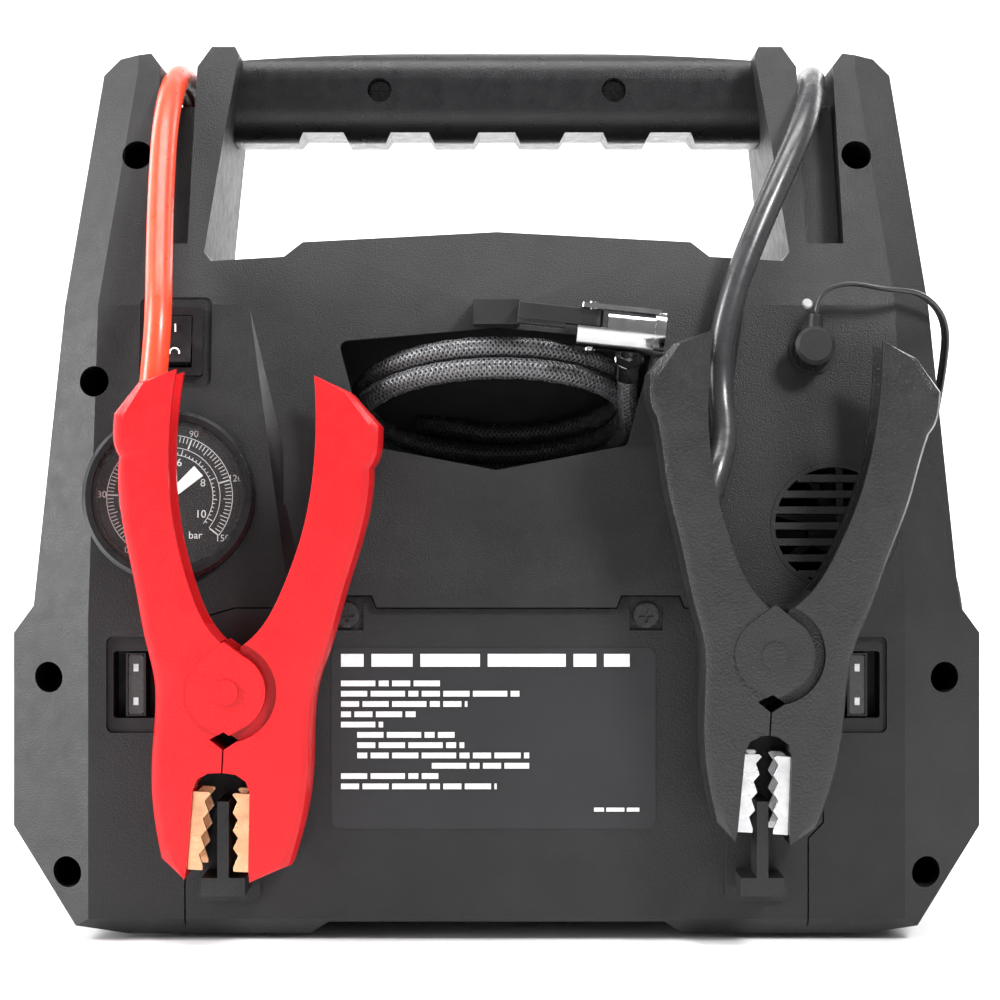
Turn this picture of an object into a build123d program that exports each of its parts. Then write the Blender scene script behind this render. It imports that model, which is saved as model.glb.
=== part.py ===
from build123d import *
import os
from math import atan2, cos, pi, radians, sin, sqrt, tan

# Jump starter pack: a carry-size box with a 12 V battery, jump clamps, a tyre inflator and outlets.
# Origin: centre of the footprint on the ground. +Z up, the clamp side faces -Y, +X to its right.
# All sizes in millimetres.

# ---------------------------------------------------------------- driving dimensions
WALL = 3.0
REAR_Y = -84.0
FRONT_Y = 112.0
BAND_Y = 98.0
PARTING_Y = 14.0
HALF_WIDTH = 158.0
BASE_Z = 1.5
TOP_Z = 296.5
LEAN_Z = (104.0, 205.0, 288.0)
LEAN_Y = (REAR_Y, -68.8, -29.0)
SLOT_X = (102.0, 114.4)
SADDLE_Z = 276.0
GROOVE_DEPTH = 12.0
CABLE_D = 8.7
HOSE_D = 7.3
LEAD_D = 3.0
CLAMP_MID_Y = -99.0
CLAMP_T = 24.0
POST_X = {"red": -85.6, "black": 83.3}
PIVOT = {"red": (-84.3, 81.6), "black": (86.7, 93.2)}
TILT = {"red": 2.7, "black": 3.7}
WELLS = ((120.5, 257.0), (131.0, 180.0), (145.2, 84.0), (138.5, 21.5))
WELL_R = 5.0
WELL_FLOOR_Y = 6.0
SCREW_R = 2.0
SCREW_HEAD_R = 4.0
SCREW_LENGTH = 16.0
GRIP_SCREW_X = 40.5
GRIP_SCREW_Z = 283.0
COVER_SCREW_X = 48.0
COVER_SCREW_Z = 104.5
GAUGE_AT = (-105.6, 142.4)
SWITCH_AT = (-104.5, 192.9)
VENT_AT = (109.0, 133.0)
PLUG_AT = (102.6, 189.7)
LED_AT = (101.3, 205.5)
FUSE_AT = (115.9, 82.1)
HOSE_CENTRE = (-1.3, -42.0, 172.5)
HOSE_SEMI = (45.6, 36.5)
HOSE_TILT = 25.0
CHUCK_AT = (40.0, -82.5, 195.8)
CHUCK_TILT = 6.0
OUTLET_Z = 119.0
DC_X = -62.0
USB_X = 62.0
GEAR_AT = (20.0, 112.0)
GEAR_TEETH = 40
PINION_TEETH = 10
THROUGH = 40.0
PART_GAP = 0.4
GAUGE_CAN_R = 24.2
GAUGE_RIM_R = 27.9
GAUGE_BORE_R = 23.2
LENS_SEAT_R = 24.8
VENT_R = 20.7
SOCKET_R = 6.0
LED_R = 1.8
FUSE_HOLDER = (18.4, 30.6)
DC_R = 13.0
AC_SIZE = (42.0, 36.0)
USB_SIZE = (40.0, 24.0)
LIGHT_SIZE = (120.0, 26.0)
LIGHT_Z = 34.0
BATTERY_SIZE = (181.0, 166.0, 76.0)
BATTERY_AT = (0.0, 8.0, 9.4)
ADAPTER_SIZE = (46.0, 66.0, 28.0)
ADAPTER_AT = (44.0, 162.0)
CYLINDER_R = 14.0
BORE_R = 11.0
CRANK_R = 8.0
SHAFT_R = 3.0

os.makedirs("parts", exist_ok=True)


# ---------------------------------------------------------------- helpers
def save(builder, name):
    """Label a finished sub-part and write it."""
    builder.part.label = name
    export_step(builder.part, f"parts/{name}.step")


def rear_y(z):
    """Depth of the rear face at height z."""
    if z <= LEAN_Z[0]:
        return REAR_Y
    step = 0 if z <= LEAN_Z[1] else 1
    share = (z - LEAN_Z[step]) / (LEAN_Z[step + 1] - LEAN_Z[step])
    return LEAN_Y[step] + share * (LEAN_Y[step + 1] - LEAN_Y[step])


def rear_plane(x, z, out=0.0):
    """Plane on the rear face: its x is +X, its y climbs the face, its normal points out."""
    rise = rear_y(z + 1.0) - rear_y(z - 1.0)
    lean = atan2(rise, 2.0)
    normal = Vector(0, -cos(lean), sin(lean))
    origin = Vector(x, rear_y(z), z) + normal * out
    return Plane(origin=origin, x_dir=(1, 0, 0), z_dir=normal)


def front_plane(x, y, z):
    """Vertical plane that faces +Y."""
    return Plane(origin=(x, y, z), x_dir=(-1, 0, 0), z_dir=(0, 1, 0))


def cutting_plane(a, b, c, outside):
    """Plane through three points whose normal points at the outside point."""
    a, b, c = Vector(*a), Vector(*b), Vector(*c)
    normal = (b - a).cross(c - a).normalized()
    if normal.dot(Vector(*outside) - a) < 0:
        normal = -normal
    return Plane(origin=a, x_dir=(b - a).normalized(), z_dir=normal)


def corner_radii(points):
    """One bend radius for each inner point: 0.45 of its shorter run over the tangent of half its turn."""
    vectors = [Vector(*p) for p in points]
    radii = []
    for before, corner, after in zip(vectors, vectors[1:], vectors[2:]):
        run_in = corner - before
        run_out = after - corner
        turn = radians(run_in.get_angle(run_out))
        radii.append(0.45 * min(run_in.length, run_out.length) / tan(turn / 2))
    return radii


def cord(points, diameter, name):
    """Round cord along straight runs joined by tangent arcs; prints its radii and its volume test."""
    radii = corner_radii(points)
    with BuildPart() as tube:
        with BuildLine():
            route = FilletPolyline(*points, radius=radii)
        with BuildSketch(Plane(origin=route @ 0, z_dir=route % 0)):
            Circle(diameter / 2)
        sweep(path=route)
    length = route.length
    ideal = pi * diameter**2 / 4 * length
    print(f"{name}: length {length:.0f} mm, volume ratio {tube.part.volume / ideal:.4f},",
          "radii", [round(r) for r in radii])
    save(tube, name)
    return tube


# ---------------------------------------------------------------- casing block
HALF_OUTLINE = (
    (54, 6), (60, BASE_Z), (119, BASE_Z), (135.5, 4.5), (HALF_WIDTH, 35), (HALF_WIDTH, 98),
    (150.8, 107), (134.8, 287), (129, 292.5), (118, 294), (SLOT_X[1], 289), (SLOT_X[1], SADDLE_Z),
    (SLOT_X[0], SADDLE_Z), (SLOT_X[0], 289), (97.5, TOP_Z), (89.5, TOP_Z), (88, 293),
    (92, 262), (96.4, 223), (94, 220), (70, 221.5), (64, 226.5),
)
SIDE_OUTLINE = (
    (-78, BASE_Z), (REAR_Y, 7), (REAR_Y, LEAN_Z[0]), (LEAN_Y[1], LEAN_Z[1]), (LEAN_Y[2], LEAN_Z[2]),
    (-24, TOP_Z), (26, TOP_Z), (32, 290), (42, 222), (BAND_Y, 150), (BAND_Y, 88),
    (FRONT_Y, 62), (FRONT_Y, 8), (106, BASE_Z),
)
BEVEL_SLOPE = Vector(16, 10.7, 0)
# Each crease: a point on it, its direction, and +1 on the rear or -1 on the front.
CREASES = (
    ((131, REAR_Y, 104), (0, 0, 1), 1),
    ((131, REAR_Y, 104), (-1, 15.2, 101), 1),
    ((130, LEAN_Y[1], LEAN_Z[1]), (-8, 39.8, 83), 1),
    ((128, BAND_Y, 119), (0, 0, 1), -1),
)


def casing_block(inset):
    """Solid outer shape of the whole casing, shrunk by inset on every face."""
    with BuildPart() as block:
        with BuildSketch(Plane.XZ):
            with BuildLine():
                right = [(0, 6), *HALF_OUTLINE, (0, 230)]
                left = [(-x, z) for x, z in reversed(HALF_OUTLINE)]
                Polyline(*right, *left, close=True)
            make_face()
            if inset:
                offset(amount=-inset, kind=Kind.INTERSECTION)
        extrude(amount=200, both=True)
        with BuildSketch(Plane.YZ):
            Polygon(*SIDE_OUTLINE, align=None)
            if inset:
                offset(amount=-inset, kind=Kind.INTERSECTION)
        extrude(amount=200, both=True, mode=Mode.INTERSECT)
        for corner, along, facing in CREASES:
            for side in (1, -1):
                origin = Vector(corner[0] * side, corner[1], corner[2])
                run = Vector(along[0] * side, along[1], along[2])
                across = Vector(BEVEL_SLOPE.X * side, BEVEL_SLOPE.Y * facing, 0)
                normal = run.cross(across).normalized()
                if normal.X * side < 0:
                    normal = -normal
                bevel = Plane(origin=origin - normal * inset, x_dir=run, z_dir=normal)
                split(bisect_by=bevel, keep=Keep.BOTTOM)
    return block.part


# ---------------------------------------------------------------- shield panel around the hose bay
SHIELD_TOP = (80.7, LEAN_Y[1], 205)
SHIELD_SIDE = (74.2, -75.4, 161)
SHIELD_EDGE = (68.7, -80.4, 163)
RIDGE_HIGH = ((0, -81, 132), (40, -81, 138))
RIDGE_LOW = ((0, -86, 112), (42, -86, 120.6))


def shield_half(side):
    """Half of the raised panel: a leaning upper face and a V-shaped ledge below the hose bay."""
    def flip(point):
        return (point[0] * side, point[1], point[2])

    outside = (0, -300, 400)
    upper = cutting_plane((0, LEAN_Y[1], 205), (10, LEAN_Y[1], 205), (0, -80.5, 158), outside)
    middle = cutting_plane((0, -80.5, 158), (10, -80.5, 158), (0, -81, 135), (0, -300, 140))
    ledge = cutting_plane(flip(RIDGE_HIGH[0]), flip(RIDGE_HIGH[1]), flip(RIDGE_LOW[0]), outside)
    flank = cutting_plane(flip(SHIELD_TOP), flip(SHIELD_SIDE), flip(SHIELD_EDGE), (300 * side, -200, 150))
    with BuildPart() as panel:
        with BuildSketch(Plane.XZ.offset(60)):
            Polygon((0, 106.8), (72 * side, 106.8), (82 * side, 205), (0, 205), align=None)
        extrude(amount=40)
        split(bisect_by=upper, keep=Keep.BOTTOM)
        split(bisect_by=middle, keep=Keep.BOTTOM)
    with BuildPart() as shelf:
        with BuildSketch(Plane.XZ.offset(60)):
            Polygon((0, 106.8), (72 * side, 106.8), (72 * side, 140), (0, 140), align=None)
        extrude(amount=26)
        split(bisect_by=ledge, keep=Keep.BOTTOM)
    with BuildPart() as half:
        add(panel.part)
        add(shelf.part)
        split(bisect_by=flank, keep=Keep.BOTTOM)
    return half.part


# ---------------------------------------------------------------- recesses cut into the casing
HOSE_MOUTH = ((-51.5, 193), (0, 197.5), (51.5, 193), (42.3, 159), (0, 151), (-42.3, 159))
TRAY = (-56.0, 56.0, 146.5, 204.0, 3.0)
COVER_HALF = ((99.7, 0), (99.7, 33), (104.5, 38), (105.5, 96), (96, 103), (84, 106.5), (60, 106.5),
              (58.5, 110.4), (40.2, 110.4), (38.7, 106.5))


def cable_grooves(grow):
    """Channels that hold the jump cables: down the rear of each tower and down the whole front."""
    with BuildPart() as grooves:
        for side in (1, -1):
            low, high = sorted((side * (SLOT_X[0] - grow), side * (SLOT_X[1] + grow)))
            with BuildSketch(Plane.YZ.offset(low)):
                Polygon((-110, 226), (rear_y(226) + GROOVE_DEPTH, 226), (rear_y(276) + GROOVE_DEPTH, 276),
                        (rear_y(276) + GROOVE_DEPTH, 310), (-110, 310), align=None)
                Polygon((20.5, 310), (20.5, 276), (29, 222), (82, 148.5), (82, 101), (120, 101),
                        (120, 310), align=None)
                if grow:
                    offset(amount=grow, kind=Kind.INTERSECTION)
            extrude(amount=high - low)
    return grooves.part


def wells(radius, floor_y):
    """Round wells over the casing screws, from outside the rear face down to the depth floor_y."""
    with BuildPart() as holes:
        for x, z in WELLS:
            for side in (1, -1):
                with BuildSketch(Plane.XZ.offset(120)):
                    with Locations((side * x, z)):
                        Circle(radius)
                extrude(amount=-(120 + floor_y))
    return holes.part


OUTER = casing_block(0)
INNER = casing_block(WALL)
SHIELD = [shield_half(1), shield_half(-1)]
GROOVES = cable_grooves(0)
GROOVE_WALLS = cable_grooves(2.5)

with BuildPart() as tray_space:
    with BuildSketch(Plane.XZ.offset(-TRAY[4])):
        Polygon((TRAY[0], TRAY[2]), (TRAY[1], TRAY[2]), (TRAY[1], TRAY[3]), (TRAY[0], TRAY[3]), align=None)
    extrude(amount=TRAY[4] + 110)
with BuildPart() as tray_block:
    with BuildSketch(Plane.XZ.offset(-TRAY[4] - 2)):
        Polygon((TRAY[0] - 2, TRAY[2] - 2), (TRAY[1] + 2, TRAY[2] - 2), (TRAY[1] + 2, TRAY[3] + 2),
                (TRAY[0] - 2, TRAY[3] + 2), align=None)
    extrude(amount=TRAY[4] + 112)
with BuildPart() as mouth:
    with BuildSketch(Plane.XZ.offset(20)):
        Polygon(*HOSE_MOUTH, align=None)
        fillet(vertices(), 2.5)
    extrude(amount=100)
with BuildPart() as fuse_pockets:
    for side in (1, -1):
        with BuildSketch(Plane.XZ.offset(68)):
            with Locations((side * FUSE_AT[0], FUSE_AT[1])):
                RectangleRounded(FUSE_HOLDER[0] + 0.2, FUSE_HOLDER[1] + 0.2, 2)
        extrude(amount=40)
with BuildPart() as fuse_walls:
    for side in (1, -1):
        with BuildSketch(Plane.XZ.offset(66)):
            with Locations((side * FUSE_AT[0], FUSE_AT[1])):
                RectangleRounded(FUSE_HOLDER[0] + 4.2, FUSE_HOLDER[1] + 4.2, 2)
        extrude(amount=40)
with BuildPart() as screw_posts:
    for x, z in WELLS:
        for side in (1, -1):
            with BuildSketch(Plane.XZ.offset(120)):
                with Locations((side * x, z)):
                    Circle(WELL_R + 1.8)
            extrude(amount=-240)
with BuildPart() as switch_pocket:
    with BuildSketch(rear_plane(*SWITCH_AT, out=-1.6)):
        RectangleRounded(23.4, 30, 2.5)
    extrude(amount=20)

COVER_OUTLINE = [*COVER_HALF, *[(-x, z) for x, z in reversed(COVER_HALF)]]


def cover_prism(grow, low_y, high_y):
    """Prism of the battery cover's outline between two depths."""
    with BuildPart() as prism:
        with BuildSketch(Plane.XZ.offset(-high_y)):
            Polygon(*COVER_OUTLINE, align=None)
            if grow:
                offset(amount=grow, kind=Kind.INTERSECTION)
        extrude(amount=high_y - low_y)
    return prism.part


COVER_HOLE = cover_prism(0.5, -100, REAR_Y + WALL)
COVER_LEDGE = cover_prism(3.0, REAR_Y + WALL, REAR_Y + WALL + 2.0)
COVER_BAY = cover_prism(-6.0, -100, -60)

with BuildPart() as cavity:
    add(INNER)
    add(GROOVE_WALLS, mode=Mode.SUBTRACT)
    add(tray_block.part, mode=Mode.SUBTRACT)
    add(fuse_walls.part, mode=Mode.SUBTRACT)
    add(screw_posts.part, mode=Mode.SUBTRACT)

with BuildPart() as cavity_lining:
    add(INNER)
    add(COVER_LEDGE, mode=Mode.INTERSECT)
    add(COVER_BAY, mode=Mode.SUBTRACT)

with BuildPart() as tray_inside:
    add(tray_space.part)
    add(INNER, mode=Mode.INTERSECT)

with BuildPart() as rear_holes:
    for at, radius in ((GAUGE_AT, GAUGE_CAN_R + 0.1), (VENT_AT, VENT_R + 0.1),
                       (PLUG_AT, SOCKET_R + 0.2), (LED_AT, LED_R + 0.1)):
        with BuildSketch(rear_plane(*at, out=-20)):
            Circle(radius)
        extrude(amount=THROUGH)
    with BuildSketch(rear_plane(*SWITCH_AT, out=-20)):
        Rectangle(15 + PART_GAP, 20 + PART_GAP)
    extrude(amount=THROUGH)

PARTING = Plane(origin=(0, PARTING_Y, 0), z_dir=(0, 1, 0))

# ---------------------------------------------------------------- casing shells
with BuildPart() as rear_casing:
    add(OUTER)
    add(SHIELD[0])
    add(SHIELD[1])
    add(cavity.part, mode=Mode.SUBTRACT)
    add(cavity_lining.part)
    add(GROOVES, mode=Mode.SUBTRACT)
    add(tray_inside.part, mode=Mode.SUBTRACT)
    add(mouth.part, mode=Mode.SUBTRACT)
    add(fuse_pockets.part, mode=Mode.SUBTRACT)
    add(switch_pocket.part, mode=Mode.SUBTRACT)
    add(wells(WELL_R, WELL_FLOOR_Y), mode=Mode.SUBTRACT)
    add(wells(SCREW_R + 0.1, PARTING_Y), mode=Mode.SUBTRACT)
    for side in (1, -1):
        with BuildSketch(Plane.XZ.offset(-REAR_Y)):
            with Locations((side * COVER_SCREW_X, COVER_SCREW_Z)):
                Circle(SCREW_R + 0.1)
        extrude(amount=-20, mode=Mode.SUBTRACT)
    add(COVER_HOLE, mode=Mode.SUBTRACT)
    add(rear_holes.part, mode=Mode.SUBTRACT)
    split(bisect_by=PARTING, keep=Keep.BOTTOM)
    # tab over the hose bay that keeps the coil in
    with BuildSketch(Plane.XZ.offset(66)):
        with Locations((0, 202.2)):
            Rectangle(15, 8)
    extrude(amount=13)
save(rear_casing, "rear_casing")

with BuildPart() as front_cuts:
    with BuildSketch(front_plane(DC_X, BAND_Y - 10, OUTLET_Z)):
        Circle(DC_R + PART_GAP / 2)
    extrude(amount=THROUGH)
    for x, size in ((0, AC_SIZE), (USB_X, USB_SIZE)):
        with BuildSketch(front_plane(x, BAND_Y - 10, OUTLET_Z)):
            RectangleRounded(size[0] + PART_GAP, size[1] + PART_GAP, 3)
        extrude(amount=THROUGH)
    with BuildSketch(front_plane(0, FRONT_Y - 10, LIGHT_Z)):
        RectangleRounded(LIGHT_SIZE[0] + PART_GAP, LIGHT_SIZE[1] + PART_GAP, 6)
    extrude(amount=THROUGH)

SLOPE_NORMAL = Vector(0, 222 - 150, BAND_Y - 42).normalized()
SLOPE_MID = Vector(0, (42 + BAND_Y) / 2, 186)


def slope_plane(out):
    """Plane on the sloping control face; its x is -X and its y climbs the slope."""
    return Plane(origin=SLOPE_MID + SLOPE_NORMAL * out, x_dir=(-1, 0, 0), z_dir=SLOPE_NORMAL)


PANEL_SIZE = (150.0, 58.0)
BUTTON_U = (-52.0, 52.0)
with BuildPart() as panel_cut:
    with BuildSketch(slope_plane(-12)):
        RectangleRounded(PANEL_SIZE[0] + PART_GAP, PANEL_SIZE[1] + PART_GAP, 5)
    extrude(amount=THROUGH)

with BuildPart() as front_casing:
    add(OUTER)
    add(cavity.part, mode=Mode.SUBTRACT)
    add(GROOVES, mode=Mode.SUBTRACT)
    add(front_cuts.part, mode=Mode.SUBTRACT)
    add(panel_cut.part, mode=Mode.SUBTRACT)
    split(bisect_by=PARTING, keep=Keep.TOP)
    for x, z in WELLS:
        for side in (1, -1):
            with BuildSketch(Plane.XZ.offset(-PARTING_Y)):
                with Locations((side * x, z)):
                    Circle(SCREW_R + 0.1)
            extrude(amount=-14, mode=Mode.SUBTRACT)
save(front_casing, "front_casing")

# ---------------------------------------------------------------- carrying handle, two halves
GRIP_MID_Y = 3.0
GRIP_MID_Z = 281.4
GRIP_LOW_Z = 265.6
GRIP_SIZE = (36.0, 32.2, 12.0)
GRIP_HOLLOW = (29.0, 20.0, 8.0)
FINGER_NOTCHES = ((-60.2, 7), (-30.2, 6.6), (0, 6.3), (30.2, 6.6), (60.2, 7))
GRIP_SPLIT = Plane(origin=(0, GRIP_MID_Y, 0), z_dir=(0, 1, 0))
with BuildPart() as grip:
    with BuildSketch(Plane.XZ):
        with BuildLine():
            Polyline((-91.2, 293.5), (-91.2, GRIP_LOW_Z), (91.2, GRIP_LOW_Z), (91.2, 293.5))
            ThreePointArc((91.2, 293.5), (0, 297.4), (-91.2, 293.5))
        make_face()
    extrude(amount=40, both=True)
    with BuildSketch(Plane.YZ):
        with Locations((GRIP_MID_Y, GRIP_MID_Z)):
            RectangleRounded(*GRIP_SIZE)
    extrude(amount=100, both=True, mode=Mode.INTERSECT)
    for x, half in FINGER_NOTCHES:
        with BuildSketch(Plane.XZ):
            Polygon((x - half - 2.4, GRIP_LOW_Z - 1), (x - half, GRIP_LOW_Z + 3.2),
                    (x + half, GRIP_LOW_Z + 3.2), (x + half + 2.4, GRIP_LOW_Z - 1), align=None)
        extrude(amount=40, both=True, mode=Mode.SUBTRACT)
grip_body = grip.part - OUTER

for name, keep, facing in (("handle_rear", Keep.BOTTOM, 1), ("handle_front", Keep.TOP, -1)):
    with BuildPart() as shell:
        add(grip_body)
        split(bisect_by=GRIP_SPLIT, keep=keep)
        with BuildSketch(Plane.YZ):
            with Locations((GRIP_MID_Y, GRIP_MID_Z)):
                RectangleRounded(*GRIP_HOLLOW)
        extrude(amount=86, both=True, mode=Mode.SUBTRACT)
        for x in (GRIP_SCREW_X, -GRIP_SCREW_X):
            with BuildSketch(Plane.XZ.offset(-GRIP_MID_Y)):
                with Locations((x, GRIP_SCREW_Z)):
                    Circle(5.6)
            extrude(amount=15 * facing)
            with BuildSketch(Plane.XZ.offset(-GRIP_MID_Y + 20)):
                with Locations((x, GRIP_SCREW_Z)):
                    Circle(SCREW_R + 0.1)
            extrude(amount=-31, mode=Mode.SUBTRACT)
            if facing == 1:
                with BuildSketch(Plane.XZ.offset(-GRIP_MID_Y + 9)):
                    with Locations((x, GRIP_SCREW_Z)):
                        Circle(SCREW_HEAD_R + 0.2)
                extrude(amount=20, mode=Mode.SUBTRACT)
    save(shell, name)

# ---------------------------------------------------------------- battery cover and its clamp posts
POST_STEM = (3.6, 26.0)
POST_FOOT = (13.7, 5.7)
POST_PAD = (20.0, 30.0, 3.0)
POST_REACH = 22.0
SCREW_PAD = (10.6, 9.8)
with BuildPart() as battery_cover:
    add(OUTER)
    add(INNER, mode=Mode.SUBTRACT)
    add(cover_prism(0, -100, REAR_Y + WALL), mode=Mode.INTERSECT)
    for side in (1, -1):
        with BuildSketch(Plane.XZ.offset(-REAR_Y + 0.2)):
            with Locations((side * COVER_SCREW_X, COVER_SCREW_Z)):
                Rectangle(*SCREW_PAD)
        extrude(amount=-1.8, mode=Mode.SUBTRACT)
        with BuildSketch(Plane.XZ.offset(-REAR_Y + 0.2)):
            with Locations((side * COVER_SCREW_X, COVER_SCREW_Z)):
                Circle(SCREW_R + 0.1)
        extrude(amount=-6, mode=Mode.SUBTRACT)
    for x in POST_X.values():
        with BuildSketch(Plane.XZ.offset(-REAR_Y)):
            with Locations((x, 34)):
                Rectangle(*POST_STEM)
            with Locations((x, 20.2)):
                Rectangle(*POST_FOOT)
        extrude(amount=POST_REACH)
        with BuildSketch(Plane.XZ.offset(-REAR_Y)):
            with Locations((x, 28)):
                RectangleRounded(*POST_PAD)
        extrude(amount=1.6)
save(battery_cover, "battery_cover")

with BuildPart() as rating_label:
    with BuildSketch(Plane.XZ.offset(-REAR_Y)):
        with Locations((-1, 65)):
            RectangleRounded(104, 58, 3)
    extrude(amount=0.25)
save(rating_label, "rating_label")

# ---------------------------------------------------------------- identical casing screws
SCREW_PLACES = [(side * x, WELL_FLOOR_Y, z) for x, z in WELLS for side in (1, -1)]
SCREW_PLACES += [(side * GRIP_SCREW_X, GRIP_MID_Y - 9, GRIP_SCREW_Z) for side in (1, -1)]
SCREW_PLACES += [(side * COVER_SCREW_X, REAR_Y + 1.6, COVER_SCREW_Z) for side in (1, -1)]
with BuildPart() as casing_screws:
    for x, y, z in SCREW_PLACES:
        head = Plane(origin=(x, y, z), x_dir=(1, 0, 0), z_dir=(0, -1, 0))
        with BuildSketch(head):
            Circle(SCREW_HEAD_R)
        extrude(amount=2.2)
        with BuildSketch(head.offset(2.2)):
            Rectangle(4.6, 1.1)
            Rectangle(1.1, 4.6)
        extrude(amount=-1.2, mode=Mode.SUBTRACT)
        with BuildSketch(head):
            Circle(SCREW_R)
        extrude(amount=-SCREW_LENGTH)
save(casing_screws, "casing_screws")

with BuildPart() as rubber_feet:
    for x in (-100, 100):
        for y in (-58, 82):
            with BuildSketch():
                with Locations((x, y)):
                    Circle(9)
            extrude(amount=BASE_Z)
save(rubber_feet, "rubber_feet")

# ---------------------------------------------------------------- pressure gauge
with BuildPart() as gauge_body:
    with BuildSketch(rear_plane(*GAUGE_AT, out=-20)):
        Circle(GAUGE_CAN_R)
    extrude(amount=20)
    with BuildSketch(rear_plane(*GAUGE_AT)):
        Circle(GAUGE_RIM_R)
    extrude(amount=4)
    chamfer(edges().filter_by(GeomType.CIRCLE).sort_by(SortBy.RADIUS)[-1], 1.2)
    with BuildSketch(rear_plane(*GAUGE_AT, out=-1)):
        Circle(GAUGE_BORE_R)
    extrude(amount=10, mode=Mode.SUBTRACT)
    with BuildSketch(rear_plane(*GAUGE_AT, out=2.2)):
        Circle(LENS_SEAT_R)
    extrude(amount=10, mode=Mode.SUBTRACT)
save(gauge_body, "gauge_body")

with BuildPart() as gauge_dial:
    with BuildSketch(rear_plane(*GAUGE_AT, out=-1)):
        Circle(GAUGE_BORE_R - 0.1)
        Circle(0.9, mode=Mode.SUBTRACT)
    extrude(amount=0.6)
save(gauge_dial, "gauge_dial")

NEEDLE_ANGLE = 222.0
with BuildPart() as gauge_needle:
    with BuildSketch(rear_plane(*GAUGE_AT, out=0.2)):
        Circle(2.3)
        with Locations(Rotation(0, 0, NEEDLE_ANGLE)):
            Polygon((0, -0.9), (18, -0.25), (18, 0.25), (0, 0.9), align=None)
            Polygon((0, -1.2), (-12.5, -2.1), (-12.5, 2.1), (0, 1.2), align=None)
    extrude(amount=0.8)
    with BuildSketch(rear_plane(*GAUGE_AT, out=-0.9)):
        Circle(0.85)
    extrude(amount=1.1)
save(gauge_needle, "gauge_needle")

with BuildPart() as gauge_lens:
    with BuildSketch(rear_plane(*GAUGE_AT, out=2.2)):
        Circle(LENS_SEAT_R - 0.1)
    extrude(amount=1.2)
save(gauge_lens, "gauge_lens")

# ---------------------------------------------------------------- rocker switch
with BuildPart() as switch_bezel:
    with BuildSketch(rear_plane(*SWITCH_AT, out=-1.6)):
        RectangleRounded(18, 22.6, 1)
    extrude(amount=2.6)
    with BuildSketch(rear_plane(*SWITCH_AT, out=-16)):
        Rectangle(15, 20)
    extrude(amount=15)
    with BuildSketch(rear_plane(*SWITCH_AT, out=-10.5)):
        Rectangle(11, 17.4)
    extrude(amount=14, mode=Mode.SUBTRACT)
save(switch_bezel, "switch_bezel")

ROCKER_LEAN = 8.0
SWITCH_SIDE = Plane(origin=rear_plane(*SWITCH_AT, out=-1).origin,
                    x_dir=rear_plane(*SWITCH_AT).y_dir, z_dir=(1, 0, 0))
with BuildPart() as switch_rocker:
    with BuildSketch(SWITCH_SIDE):
        with Locations(Rotation(0, 0, -ROCKER_LEAN)):
            Polygon((-8, 0), (-7.9, 3.6), (0, 2.0), (7.9, 3.6), (8, 0), (5, -6), (-5, -6), align=None)
    extrude(amount=5.2, both=True)
    with BuildSketch(SWITCH_SIDE):
        Circle(1.2)
    extrude(amount=5.4, both=True)
save(switch_rocker, "switch_rocker")

# ---------------------------------------------------------------- charging socket, plug, lead, light
with BuildPart() as charge_socket:
    with BuildSketch(rear_plane(*PLUG_AT, out=-13)):
        Circle(SOCKET_R)
    extrude(amount=13)
    with BuildSketch(rear_plane(*PLUG_AT)):
        Circle(7.6)
    extrude(amount=1)
    with BuildSketch(rear_plane(*PLUG_AT, out=-9)):
        Circle(2.9)
    extrude(amount=12, mode=Mode.SUBTRACT)
save(charge_socket, "charge_socket")

PLUG_FACE = rear_plane(*PLUG_AT, out=1)
NECK = Plane(origin=PLUG_FACE.origin + PLUG_FACE.z_dir * 5, z_dir=(0.05, -0.02, 1))
with BuildPart() as charge_plug:
    with BuildSketch(PLUG_FACE):
        Circle(6.4)
    extrude(amount=10)
    chamfer(edges().filter_by(GeomType.CIRCLE).sort_by(Axis.Y)[0], 1.2)
    for turn in range(12):
        with BuildSketch(PLUG_FACE.offset(1.5)):
            with Locations(Rotation(0, 0, 30 * turn)):
                with Locations((6.5, 0)):
                    Circle(0.6)
        extrude(amount=7, mode=Mode.SUBTRACT)
    with BuildSketch(PLUG_FACE):
        Circle(2.85)
    extrude(amount=-8.5)
    with BuildSketch(NECK):
        Circle(3.0)
    with BuildSketch(NECK.offset(11)):
        Circle(2.2)
    loft()
save(charge_plug, "charge_plug")

NECK_END = NECK.origin + NECK.z_dir * 11
LEAD_POINTS = [
    tuple(NECK_END + NECK.z_dir * 0.4), (103.4, -78, 208), (113, -78, 212), (126, -77, 209.5), (139, -71, 209),
    (148.5, -60, 200), (149, -46, 184), (147.5, -33, 166), (149.5, -22, 145), (155, -13, 125),
    (161.5, -7, 104), (162.5, -2, 78), (162.2, 5, 50), (162, 15, 22), (161, 31, 4.5), (158.5, 54, 2),
    (158, 84, LEAD_D / 2), (154, 110, LEAD_D / 2), (143, 130, LEAD_D / 2), (124, 142, LEAD_D / 2),
    (104, 146, LEAD_D / 2),
]
cord(LEAD_POINTS, LEAD_D, "charger_lead")
COIL_AT = (96.0, 165.0)
COIL_R = 18.0
with BuildPart() as charger_coil:
    with BuildSketch():
        with Locations(COIL_AT):
            Circle(COIL_R + 4.5)
            Circle(COIL_R - 4.5, mode=Mode.SUBTRACT)
    extrude(amount=9)
save(charger_coil, "charger_coil")
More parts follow.
